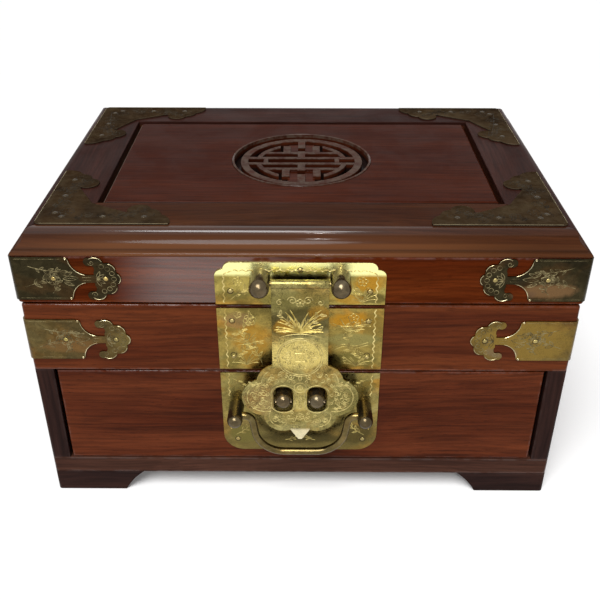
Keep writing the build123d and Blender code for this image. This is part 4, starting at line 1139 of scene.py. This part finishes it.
haspBold = [arcLine((0.0, 95.5), 28.0, 66, 114)]
haspBold += [headOutline(haspArt["border"], -62, 48), headOutline(haspArt["border"], 132, 242)]
haspBold += [arcLine(haspArt["coin"], radius, 0, 360) for radius in haspArt["coinRings"]]
squareCorners = ((-1, -1), (1, -1), (1, 1), (-1, 1), (-1, -1))
haspBold.append([Vector(haspArt["coin"]) + haspArt["square"] * Vector(corner) for corner in squareCorners])
haspBold += [arcLine(haspArt["rosette"], radius, 0, 360) for radius in haspArt["rosetteRings"]]
for side in (-1, 1):
    slotMiddle = Vector((side * haspArt["slotX"], haspArt["head"][1]))
    haspBold.append(smoothLine([slotMiddle + Vector(spot) for spot in haspArt["slotRim"]], 4))
haspFine = []
for side in (-1, 1):
    haspFine += spray((side * 1.2, 124.0), 90 - side * 30, 17.0, 5, 4.2, -side * 16, 51 + side, 0.36)
    haspFine += leaf((side * 1.0, 124.4), 90 - side * 9, 9.5, 2.6)
    haspFine += leaf((side * 7.5, 124.2), 90 - side * 48, 6.5, 2.0)
    haspFine += [
        curl((side * 4.2, 144.6), 2.6, 90 - side * 90, 1.4, side),
        curl((side * 10.8, 143.4), 1.9, 60, 1.2, -side),
        curl((side * 5.2, 94.8), 1.9, 90 + side * 60, 1.4, side),
        curl((side * 10.4, 96.4), 2.1, 40, 1.3, -side),
        curl((side * 15.6, 93.2), 1.8, 200, 1.2, side),
        curl((side * 3.2, 91.4), 1.2, 90, 1.2, -side),
    ]
    haspFine += spray((side * 18.4, 88.0), 90 - side * 62, 9.5, 5, 2.8, -side * 40, 59 + side)
    haspFine += [
        curl((side * 20.4, 83.2), 2.3, 120, 1.4, side),
        curl((side * 25.6, 81.4), 2.2, 300, 1.4, -side),
        curl((side * 20.8, 77.0), 2.4, 200, 1.4, -side),
        curl((side * 26.0, 75.2), 1.9, 20, 1.3, side),
    ]
    haspFine += spray((side * 18.2, 72.6), 90 - side * 100, 7.5, 4, 2.6, side * 30, 63 + side)
    haspFine += [
        curl((side * 14.4, 64.4), 2.2, 100, 1.4, side),
        curl((side * 9.2, 62.8), 2.2, 280, 1.4, -side),
        curl((side * 4.2, 64.2), 1.9, 90, 1.4, side),
        curl((side * 4.6, 69.4), 1.2, 200, 1.2, side),
    ]
haspFine += blossom(haspArt["lowBlossom"], 2.3, 6, 30.0)
haspFine += leaf((0.0, 92.0), 90, 3.8, 1.8) + leaf((0.0, 82.4), -90, 5.0, 1.8)
haspFine += blossom((0.0, 143.2), 2.2, 5, 90.0) + leaf((0.0, 72.0), 90, 4.4, 1.6)
for angle in (0, 90, 180, 270):
    # one leaf with two scrolls on each side of the square
    way = towards(angle)
    across = leftOf(way)
    heart = Vector(haspArt["coin"])
    haspFine += leaf(heart + way * 4.0, angle, 6.2, 2.6)
    for hand in (1, -1):
        haspFine.append(curl(heart + way * 6.6 + across * hand * 3.0, 1.5, angle + hand * 90, 1.2, hand))


def onNeck(x, z):
    return abs(x) < haspArt["neckHalf"] and z < haspArt["neckTop"]


def onHasp(x, z):
    # the head is wide enough for all that is drawn on it, the neck isn't
    return z <= haspArt["neckFoot"] or onNeck(x, z)


def onHeadGround(x, z):
    # inside the head's border, clear of the slots, the ring, the rosette and the blossom
    wide, tall = haspArt["slotClear"]
    for side in (-1, 1):
        if abs(x - side * haspArt["slotX"]) < wide and abs(z - haspArt["head"][1]) < tall:
            return False
    for name, clear in haspArt["clear"].items():
        middleX, middleZ = haspArt[name]
        if math.hypot(x - middleX, z - middleZ) < clear:
            return False
    edge = haspArt["edgeClear"]
    inside = any(math.hypot(x - cx, z - cz) < radius - edge for cx, cz, radius in haspRounds)
    return inside and z >= haspArt["headFoot"]


neckBlades = fanBlades(haspArt["bouquet"], range(14, 170, 9), (12.0, 19.0), 34, 7)
neckBlades += fanBlades(haspArt["bouquet"], range(20, 165, 14), (6.0, 10.0), 24, 8)
neckBlades = keepInside(neckBlades, onNeck)
scrolls = scrollField(inside=onHeadGround, **haspArt["scrolls"])
haspFine = keepInside(haspFine, onHasp)
haspWay = onFront(haspArt["face"])
haspJobs = [(haspBold, haspWay, *haspArt["bold"]), (haspFine + scrolls, haspWay, *haspArt["fine"])]
carve("hasp", "hasp", haspJobs, haspLine, haspLineShade)
carve("hasp_bouquet", "hasp", [(neckBlades, haspWay, *haspArt["blade"])], bladeLine, haspLineShade)

# corner straps: the same art on every leaf, from the corner along the wall, with sizes in mm
strapArt = {
    "thickness": 0.8,
    "width": 0.38,
    "rise": 0.08,
    "rimWidth": 0.34,
    "rimRise": 0.12,
    "band": 27.6,
    "half": 11.8,
    "nails": ((21.4, 0.0), (49.2, 0.0)),
}
nailRing = {"radius": 1.55, "width": 0.62, "rise": 0.04}


def strapLeaf(seed):
    half = strapArt["half"]
    lines = [[Vector((2.5, side * half)), Vector((strapArt["band"], side * half))] for side in (-1, 1)]
    lines += spray((6.0, -5.0), 18, 22.0, 9, 4.2, 14, seed)
    lines += spray((9.0, 7.6), -22, 17.0, 7, 3.8, 20, seed + 1)
    lines += spray((20.0, -9.0), 48, 9.0, 5, 3.0, 24, seed + 2)
    lines += blossom((21.4, 0.0), 3.6, 7, 8.0 * seed, heart=False)
    lines += leaf((26.5, 0.0), 4, 8.5, 2.8)
    lines += leaf((27.0, 2.0), 22, 5.6, 1.7) + leaf((27.0, -2.0), -22, 5.6, 1.7)
    lines += [[Vector((36.8, side * 0.9)), Vector((41.5, side * 0.9))] for side in (-1, 1)]
    for petal in range(5):
        # long petals that fan out round the head's nail
        lines += leaf((44.4, 0.0), -64 + 32 * petal, 5.2, 1.5, vein=False)
    for petal in range(7):
        turn = math.radians(-78 + 26 * petal)
        spot = Vector((46.2 + 7.4 * math.cos(turn), 7.6 * math.sin(turn)))
        lines.append(arcLine(spot, 1.25, 0, 360))
    lines += [curl((42.6, side * 9.6), 1.7, 180, 1.2, side) for side in (-1, 1)]
    return lines


def strapRimHighlight():
    # painted highlights along the edges of the neck and head
    lines = []
    for side, start, stop in ((-1, 176, 102), (1, 184, 258)):
        lines.append(arcLine((40.5, side * 12.1), 10.05, start, stop))
        lines.append(arcLine((44.3, side * 8.3), 4.4, side * 130, side * 26))
        lines.append(arcLine((50.3, side * 4.7), 4.4, side * 78, side * 8))
    lines.append(arcLine((53.4, 0.0), 3.6, 52, -52))
    lines += [arcLine((29.4, side * 12.1), 0.45, 0, 360) for side in (-1, 1)]
    return lines


def nailSeats(spots):
    return [arcLine(spot, nailRing["radius"], 0, 360) for spot in spots]


def strapWays(side, end, cornerX, faceY, middle):
    # the two leaves of one strap: along the front or rear wall, and round the corner along the side
    thick = strapArt["thickness"]

    def alongFace(u, v, out):
        return Vector((side * (cornerX - u), faceY + end * (thick + out), middle + v)) * mm

    def alongSide(u, v, out):
        return Vector((side * (cornerX + thick + out), faceY - end * u, middle + v)) * mm

    return alongFace, alongSide


# of each set of straps: its body, the two walls that it lies on, and the part that gives its height
strapRows = {
    "lid_strap": ("lid", "lid_wall_front", "lid_wall_rear", "lid_straps_front"),
    "body_strap": ("case", "front_board", "back_board", "body_straps_front"),
}
for label, (body, frontWall, rearWall, straps) in strapRows.items():
    cornerX, rearFace = boxInMm(rearWall)[1][:2]
    frontFace = boxInMm(frontWall)[0][1]
    middle = (boxInMm(straps)[0][2] + boxInMm(straps)[1][2]) / 2
    jobs, highlightJobs, seatJobs = [], [], []
    for side in (-1, 1):
        for end, faceY in ((-1, frontFace), (1, rearFace)):
            seed = 3 + side + 4 * (end + 2)
            for way, shift in zip(strapWays(side, end, cornerX, faceY, middle), (0, 40)):
                jobs.append((strapLeaf(seed + shift), way, strapArt["width"], strapArt["rise"]))
                highlightJobs.append((strapRimHighlight(), way, strapArt["rimWidth"], strapArt["rimRise"]))
                seatJobs.append((nailSeats(strapArt["nails"]), way, nailRing["width"], nailRing["rise"]))
    engrave(label + "_engraving", body, jobs, strapLine)
    engrave(label + "_rim_highlights", body, highlightJobs, rimHighlight)
    engrave(label + "_nail_seats", body, seatJobs, seatLine)

# top corners: branches with blossom along both arms, and a painted highlight along both outer edges
cornerArt = {
    "width": 0.4,
    "rise": 0.05,
    "rimFrom": 3.0,
    "rimTo": 70.6,
    "rimInset": 0.25,
    "rimRise": 0.06,
    "nailReaches": (13.0, 35.0, 57.0),
    "nailInset": 8.5,
}


def bothArms(lines):
    # the same lines along the first arm and, turned over, along the second
    return lines + [[Vector((point[1], point[0])) for point in line] for line in lines]


def cornerBranch(seed):
    arm = spray((9.0, 5.5), 6, 46.0, 15, 4.6, 10, seed, 0.38)
    arm += blossom((26.0, 10.5), 3.0, 5, 15.0) + blossom((44.0, 4.6), 2.6, 5, 40.0)
    arm += spray((38.0, 6.5), 30, 15.0, 6, 3.8, -24, seed + 1)
    arm += [curl((53.4, 17.6), 3.4, 200, 1.4), curl((59.6, 10.6), 2.8, 60, 1.3, -1)]
    arm += [[Vector((2.0, 1.6)), Vector((69.0, 1.6))]]
    return bothArms(arm) + blossom((14.5, 14.5), 4.0, 6, 0.0)


def onCorner(side, end, cornerX, edgeY, level):
    return lambda u, v, out: Vector((side * (cornerX - u), edgeY - end * v, level + out)) * mm


cornerRimHighlight = bothArms([[(reach, cornerArt["rimInset"]) for reach in (cornerArt["rimFrom"], cornerArt["rimTo"])]])
cornerNails = [(reach, cornerArt["nailInset"]) for reach in cornerArt["nailReaches"]]
cornerNails += [(cornerArt["nailInset"], reach) for reach in cornerArt["nailReaches"]]
frontEdge = boxInMm("top_corners_front")[0][1]
cornerX, rearEdge, level = boxInMm("top_corners_rear")[1]
jobs, highlightJobs, seatJobs = [], [], []
for side in (-1, 1):
    for end, edgeY in ((-1, frontEdge), (1, rearEdge)):
        way = onCorner(side, end, cornerX, edgeY, level)
        jobs.append((cornerBranch(80 + 2 * end + side), way, cornerArt["width"], cornerArt["rise"]))
        highlightJobs.append((cornerRimHighlight, way, cornerArt["width"], cornerArt["rimRise"]))
        seatJobs.append((nailSeats(cornerNails), way, nailRing["width"], nailRing["rise"]))
engrave("top_corner_engraving", "lid", jobs, cornerLine)
engrave("top_corner_rim_highlights", "lid", highlightJobs, rimHighlight)
engrave("top_corner_nail_seats", "lid", seatJobs, seatLine)

# dark seats of the nails on the three lock plates
plateNailX = 37.1
plateSeats = {
    "lid": ("lid_plate", [(-plateNailX, 145.8), (plateNailX, 145.8), (0.0, 158.7)]),
    "case": ("mid_plate", [(side * plateNailX, z) for side in (-1, 1) for z in (104.0, 126.5)]),
    "drawer": ("drawer_plate", [(-plateNailX, 42.2), (plateNailX, 42.2)]),
}
for body, (part, spots) in plateSeats.items():
    seats = [(nailSeats(spots), onFront(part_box(part)[0].y), nailRing["width"], nailRing["rise"])]
    engrave(body + "_plate_nail_seats", body, seats, seatLine)
print("box: the fittings are engraved")


# inside boards: paler, dry, unlacquered wood
insideWood = {
    "colours": ((0.110, 0.058, 0.030), (0.205, 0.118, 0.062), (0.300, 0.190, 0.108)),
    "figureWidth": 1.1,
    "veins": 0.35,
    "specular": 0.2,
    "bevel": 0.3 * mm,
    "seed": 71,
}
insideBoards = {
    "bottom_board": "x",
    "dust_board": "x",
    "dividers": "x",
    "lid_liner": "x",
    "drawer_back": "x",
    "drawer_bottom": "x",
    "drawer_side_left": "y",
    "drawer_side_right": "y",
}
for seed, (part, grainWay) in enumerate(sorted(insideBoards.items())):
    look = (grainWay, insideWood["colours"], insideWood["figureWidth"], insideWood["veins"])
    plain = rosewood(part, look, seed + insideWood["seed"])
    plain.name = "inside wood " + part
    plainShader = plain.node_tree.nodes["Principled BSDF"]
    feed(plain.node_tree, plainShader, {"Specular IOR Level": insideWood["specular"]})
    dress(part, plain)
    softenEdges(part, insideWood["bevel"])
print("box: inside boards are dressed")

# velvet pads: crowned, rounded at the corners and stitched a little way in from the edge, with sizes in mm
velvet = {
    "pile": (0.185, 0.011, 0.019),
    "deep": (0.135, 0.007, 0.014),
    "sheen": 0.55,
    "sheenTint": (1.0, 0.35, 0.38, 1.0),
    "round": 4.0,
    "roll": 2.4,
    "seamInset": 5.5,
    "seamDepth": 0.6,
    "seamWidth": 1.3,
    "step": 2.0,
    "crown": 0.2,
    "ripple": 0.03,
    "waves": (0.21, 0.17),
    "thinnest": 0.04,
    "fill": 0.5,
}
thread = {
    "stitch": 2.4,
    "gap": 1.4,
    "width": 0.55,
    "rise": 0.22,
    "endGap": 1.5,
    "colour": (0.110, 0.006, 0.012),
}


def makeVelvet():
    material, tree, shader, where = newMaterial("red velvet")
    nap = noiseAt(tree, where, (46.0, 30.0, 46.0), 3.0, 0.55, 0.3)
    fibre = noiseAt(tree, where, (2200.0, 2200.0, 2200.0), 2.0, 0.6)
    rubbed = noiseAt(tree, where, (300.0, 90.0, 300.0), 3.0, 0.6)
    level = times(tree, spanTo(tree, fibre, 0.3, 0.7, 0.7, 1.25), spanTo(tree, rubbed, 0.3, 0.7, 0.88, 1.12))
    pile = blendColours(tree, spanTo(tree, nap, 0.35, 0.65), velvet["deep"], velvet["pile"])
    values = {
        "Base Color": blendColours(tree, 1.0, pile, grey(tree, level), "MULTIPLY"),
        "Normal": bumpOf(tree, reckon(tree, fibre, rubbed), 0.35, 0.12 * mm),
        "Roughness": 0.85,
        "Specular IOR Level": 0.2,
        "Sheen Weight": velvet["sheen"],
        "Sheen Roughness": 0.35,
        "Sheen Tint": velvet["sheenTint"],
    }
    feed(tree, shader, values)
    return material


def makeThread():
    material, tree, shader, where = newMaterial("wine thread")
    twist = noiseAt(tree, where, (1800.0, 1800.0, 1800.0), 2.0, 0.6)
    shade = tuple(0.45 * c for c in thread["colour"])
    values = {
        "Base Color": blendColours(tree, spanTo(tree, twist, 0.35, 0.65), shade, thread["colour"]),
        "Normal": bumpOf(tree, twist, 0.4, 0.1 * mm),
        "Roughness": 0.6,
        "Specular IOR Level": 0.3,
    }
    feed(tree, shader, values)
    return material


def crownAt(edge, narrow):
    return 1 - velvet["crown"] + velvet["crown"] * math.sin(math.pi * min(1.0, edge / (0.5 * narrow)) / 2)


def padSurface(verts, faces, low, high, facing, chance):
    # one pad between two corners in mm; facing is 1 where it is crowned upwards and -1 downwards
    wide, deep, thickness = (high[axis] - low[axis] for axis in range(3))
    flatZ = low[2] if facing > 0 else high[2]
    countX = max(8, int(wide / velvet["step"]))
    countY = max(8, int(deep / velvet["step"]))
    phase = (chance.uniform(0, 6), chance.uniform(0, 6))
    corner = velvet["round"]
    base = len(verts)
    for row in range(countY + 1):
        for column in range(countX + 1):
            x, y = low[0] + wide * column / countX, low[1] + deep * row / countY
            nearX = min(max(x, low[0] + corner), high[0] - corner)
            nearY = min(max(y, low[1] + corner), high[1] - corner)
            gap = math.hypot(x - nearX, y - nearY)
            inCorner = abs(x - nearX) > 1e-9 and abs(y - nearY) > 1e-9
            if inCorner and gap > corner:
                x, y = nearX + (x - nearX) * corner / gap, nearY + (y - nearY) * corner / gap
                gap = corner
            edge = corner - gap if inCorner else min(x - low[0], high[0] - x, y - low[1], high[1] - y)
            edge = max(0.0, edge)
            roll = min(1.0, edge / velvet["roll"])
            rise = math.sqrt(max(0.0, 1 - (1 - roll) ** 2))
            crown = crownAt(edge, min(wide, deep))
            aside = (edge - velvet["seamInset"]) / velvet["seamWidth"]
            seam = velvet["seamDepth"] * math.exp(-(aside**2))
            waveX, waveY = velvet["waves"]
            ripple = velvet["ripple"] * math.sin(x * waveX + phase[0]) * math.sin(y * waveY + phase[1])
            lift = thickness * max(velvet["thinnest"], rise * (crown + ripple)) - seam * roll
            verts.append((x * mm, y * mm, (flatZ + facing * lift) * mm))
    across = countX + 1
    for row in range(countY):
        for column in range(countX):
            a = base + row * across + column
            quad = (a, a + 1, a + across + 1, a + across)
            faces.append(quad if facing > 0 else tuple(reversed(quad)))
    # the flat back of the pad
    rim = [base + column for column in range(across)]
    rim += [base + row * across + countX for row in range(1, countY + 1)]
    rim += [base + countY * across + column for column in range(countX - 1, -1, -1)]
    rim += [base + row * across for row in range(countY - 1, 0, -1)]
    backing = len(verts)
    for index in rim:
        verts.append((verts[index][0], verts[index][1], flatZ * mm))
    count = len(rim)
    for index in range(count):
        ahead = (index + 1) % count
        quad = (rim[index], backing + index, backing + ahead, rim[ahead])
        faces.append(quad if facing > 0 else tuple(reversed(quad)))
    bottom = tuple(backing + index for index in range(count))
    faces.append(tuple(reversed(bottom)) if facing > 0 else bottom)


def velvetPad(label, body, part, corners, facing):
    chance = random.Random(len(label))
    verts, faces = [], []
    for low, high in corners:
        padSurface(verts, faces, low, high, facing, chance)
    mesh = bpy.data.meshes.new(label)
    mesh.from_pydata(verts, [], faces)
    for face in mesh.polygons:
        face.use_smooth = len(face.vertices) == 4
    mesh.materials.append(redVelvet)
    piece = addObject(label, mesh)
    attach(piece, body)
    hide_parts(part)


def onPad(base, level, facing):
    return lambda x, y, out: Vector((x, y, base + facing * (level + out))) * mm


def sewnThread(label, body, corners, facing):
    # a row of stitches along the sewn channel of each pad
    inset, pace = velvet["seamInset"], thread["stitch"] + thread["gap"]
    jobs = []
    for low, high in corners:
        narrow = min(high[0] - low[0], high[1] - low[1])
        level = (high[2] - low[2]) * crownAt(inset, narrow) - velvet["seamDepth"]
        base = low[2] if facing > 0 else high[2]
        lines = []
        for side in (0, 1):
            start, stop = low[side] + inset + thread["endGap"], high[side] - inset - thread["endGap"]
            count = int((stop - start) / pace)
            for edge in (low[1 - side] + inset, high[1 - side] - inset):
                for index in range(count):
                    reach = start + (stop - start) * index / count
                    ends = [(reach, edge), (reach + thread["stitch"], edge)]
                    lines.append([Vector(end if side == 0 else (end[1], end[0])) for end in ends])
        jobs.append((lines, onPad(base, level, facing), thread["width"], thread["rise"]))
    engrave(label, body, jobs, wineThread)


redVelvet, wineThread = makeVelvet(), makeThread()
# three cells side by side at the front and a long one behind them, in mm
cells = {"middles": (-94.667, 0.0, 94.667), "half": 44.33, "frontTo": 11.05, "rearFrom": 17.05}
(left, front, low), (right, rear, high) = boxInMm("cell_pads")
cellCorners = [
    ((middle - cells["half"], front, low), (middle + cells["half"], cells["frontTo"], high))
    for middle in cells["middles"]
]
cellCorners.append(((left, cells["rearFrom"], low), (right, rear, high)))
for label, body, part, corners, facing in (
    ("cell_cushions", "case", "cell_pads", cellCorners, 1),
    ("lid_cushion", "lid", "lid_pad", [boxInMm("lid_pad")], -1),
    ("drawer_cushion", "drawer", "drawer_pad", [boxInMm("drawer_pad")], 1),
):
    velvetPad(label, body, part, corners, facing)
    sewnThread(label + "_stitching", body, corners, facing)
print("box: the velvet pads lie in the cells, the lid and the drawer")

view = {
    "place": (0.0025, -0.47075, 0.3691),
    "tilt": 58.28,
    "turn": 0.43,
    "lens": 48.98,
    "sensor": 36.0,
    "shift": (0.0005, 0.0015),
    "clipStart": 0.01,
}
cameraData = bpy.data.cameras.new("view")
cameraData.lens = view["lens"]
cameraData.sensor_width = view["sensor"]
cameraData.shift_x, cameraData.shift_y = view["shift"]
cameraData.clip_start = view["clipStart"]
camera = addObject("view", cameraData)
camera.location = view["place"]
camera.rotation_euler = (math.radians(view["tilt"]), 0.0, math.radians(view["turn"]))
bpy.context.scene.camera = camera

studio = {
    "floorSize": 12.0,
    "floorColour": (0.95, 0.95, 0.95),
    "floorLift": 0.075,
    "worldColour": (1.0, 1.0, 1.0),
    "worldStrength": 0.14,
    "sky": {"aim": (0.18, 0.62, -1.0), "angle": 34.0, "power": 3.2},
    "glint": {"place": (0.03, -0.56, 0.46), "aim": (0.0, -0.1, 0.1), "size": 0.014, "power": 0.45},
}


def seenRays(tree):
    # 1 for what the eye sees straight, in gloss or through glass, 0 for plain light on the box
    path = put(tree, "LightPath")
    direct = reckon(tree, path.outputs["Is Camera Ray"], path.outputs["Is Glossy Ray"], "MAXIMUM")
    return reckon(tree, direct, path.outputs["Is Transmission Ray"], "MAXIMUM")


softSky = bpy.data.lights.new("soft sky", "SUN")
softSky.angle = math.radians(studio["sky"]["angle"])
softSky.energy = studio["sky"]["power"]
skyLamp = addObject("soft sky", softSky)
skyLamp.rotation_euler = Vector(studio["sky"]["aim"]).to_track_quat("-Z", "Y").to_euler()

# a small lamp near the camera, which leaves a point of light on the domes
glint = bpy.data.lights.new("glint", "AREA")
glint.shape = "DISK"
glint.size = studio["glint"]["size"]
glint.energy = studio["glint"]["power"]
glintLamp = addObject("glint", glint)
glintLamp.location = studio["glint"]["place"]
glintWay = Vector(studio["glint"]["aim"]) - Vector(studio["glint"]["place"])
glintLamp.rotation_euler = glintWay.to_track_quat("-Z", "Y").to_euler()

# a dim world lights the box, and what is seen or mirrored is white
world = bpy.data.worlds.new("studio")
bpy.context.scene.world = world
world.use_nodes = True
worldTree = world.node_tree
worldColour = (*studio["worldColour"], 1.0)
dim = worldTree.nodes["Background"]
feed(worldTree, dim, {"Color": worldColour, "Strength": studio["worldStrength"]})
white = put(worldTree, "Background", {"Color": worldColour, "Strength": 1.0})
sockets = {0: seenRays(worldTree), 1: dim.outputs[0], 2: white.outputs[0]}
choice = put(worldTree, "MixShader", sockets)
feed(worldTree, worldTree.nodes["World Output"], {"Surface": choice.outputs[0]})

half = studio["floorSize"] / 2
floorMesh = bpy.data.meshes.new("floor")
floorCorners = [(-half, -half, 0), (half, -half, 0), (half, half, 0), (-half, half, 0)]
floorMesh.from_pydata(floorCorners, [], [(0, 1, 2, 3)])
floor = addObject("floor", floorMesh)
floorMaterial, floorTree, floorShader, floorWhere = newMaterial("pale floor")
floorTone = noiseAt(floorTree, floorWhere, (3.0, 3.0, 3.0), 2.0)
paleTone = tuple(0.985 * c for c in studio["floorColour"])
# a slight lift for the eye alone, so that the floor reads white round the soft shadow
floorValues = {
    "Base Color": blendColours(floorTree, floorTone, studio["floorColour"], paleTone),
    "Emission Color": grey(floorTree, seenRays(floorTree)),
    "Emission Strength": studio["floorLift"],
    "Roughness": 0.9,
    "Specular IOR Level": 0.1,
}
feed(floorTree, floorShader, floorValues)
floorMesh.materials.append(floorMaterial)
bpy.context.scene.view_settings.view_transform = "Standard"
print("box: camera, floor and lamps stand")
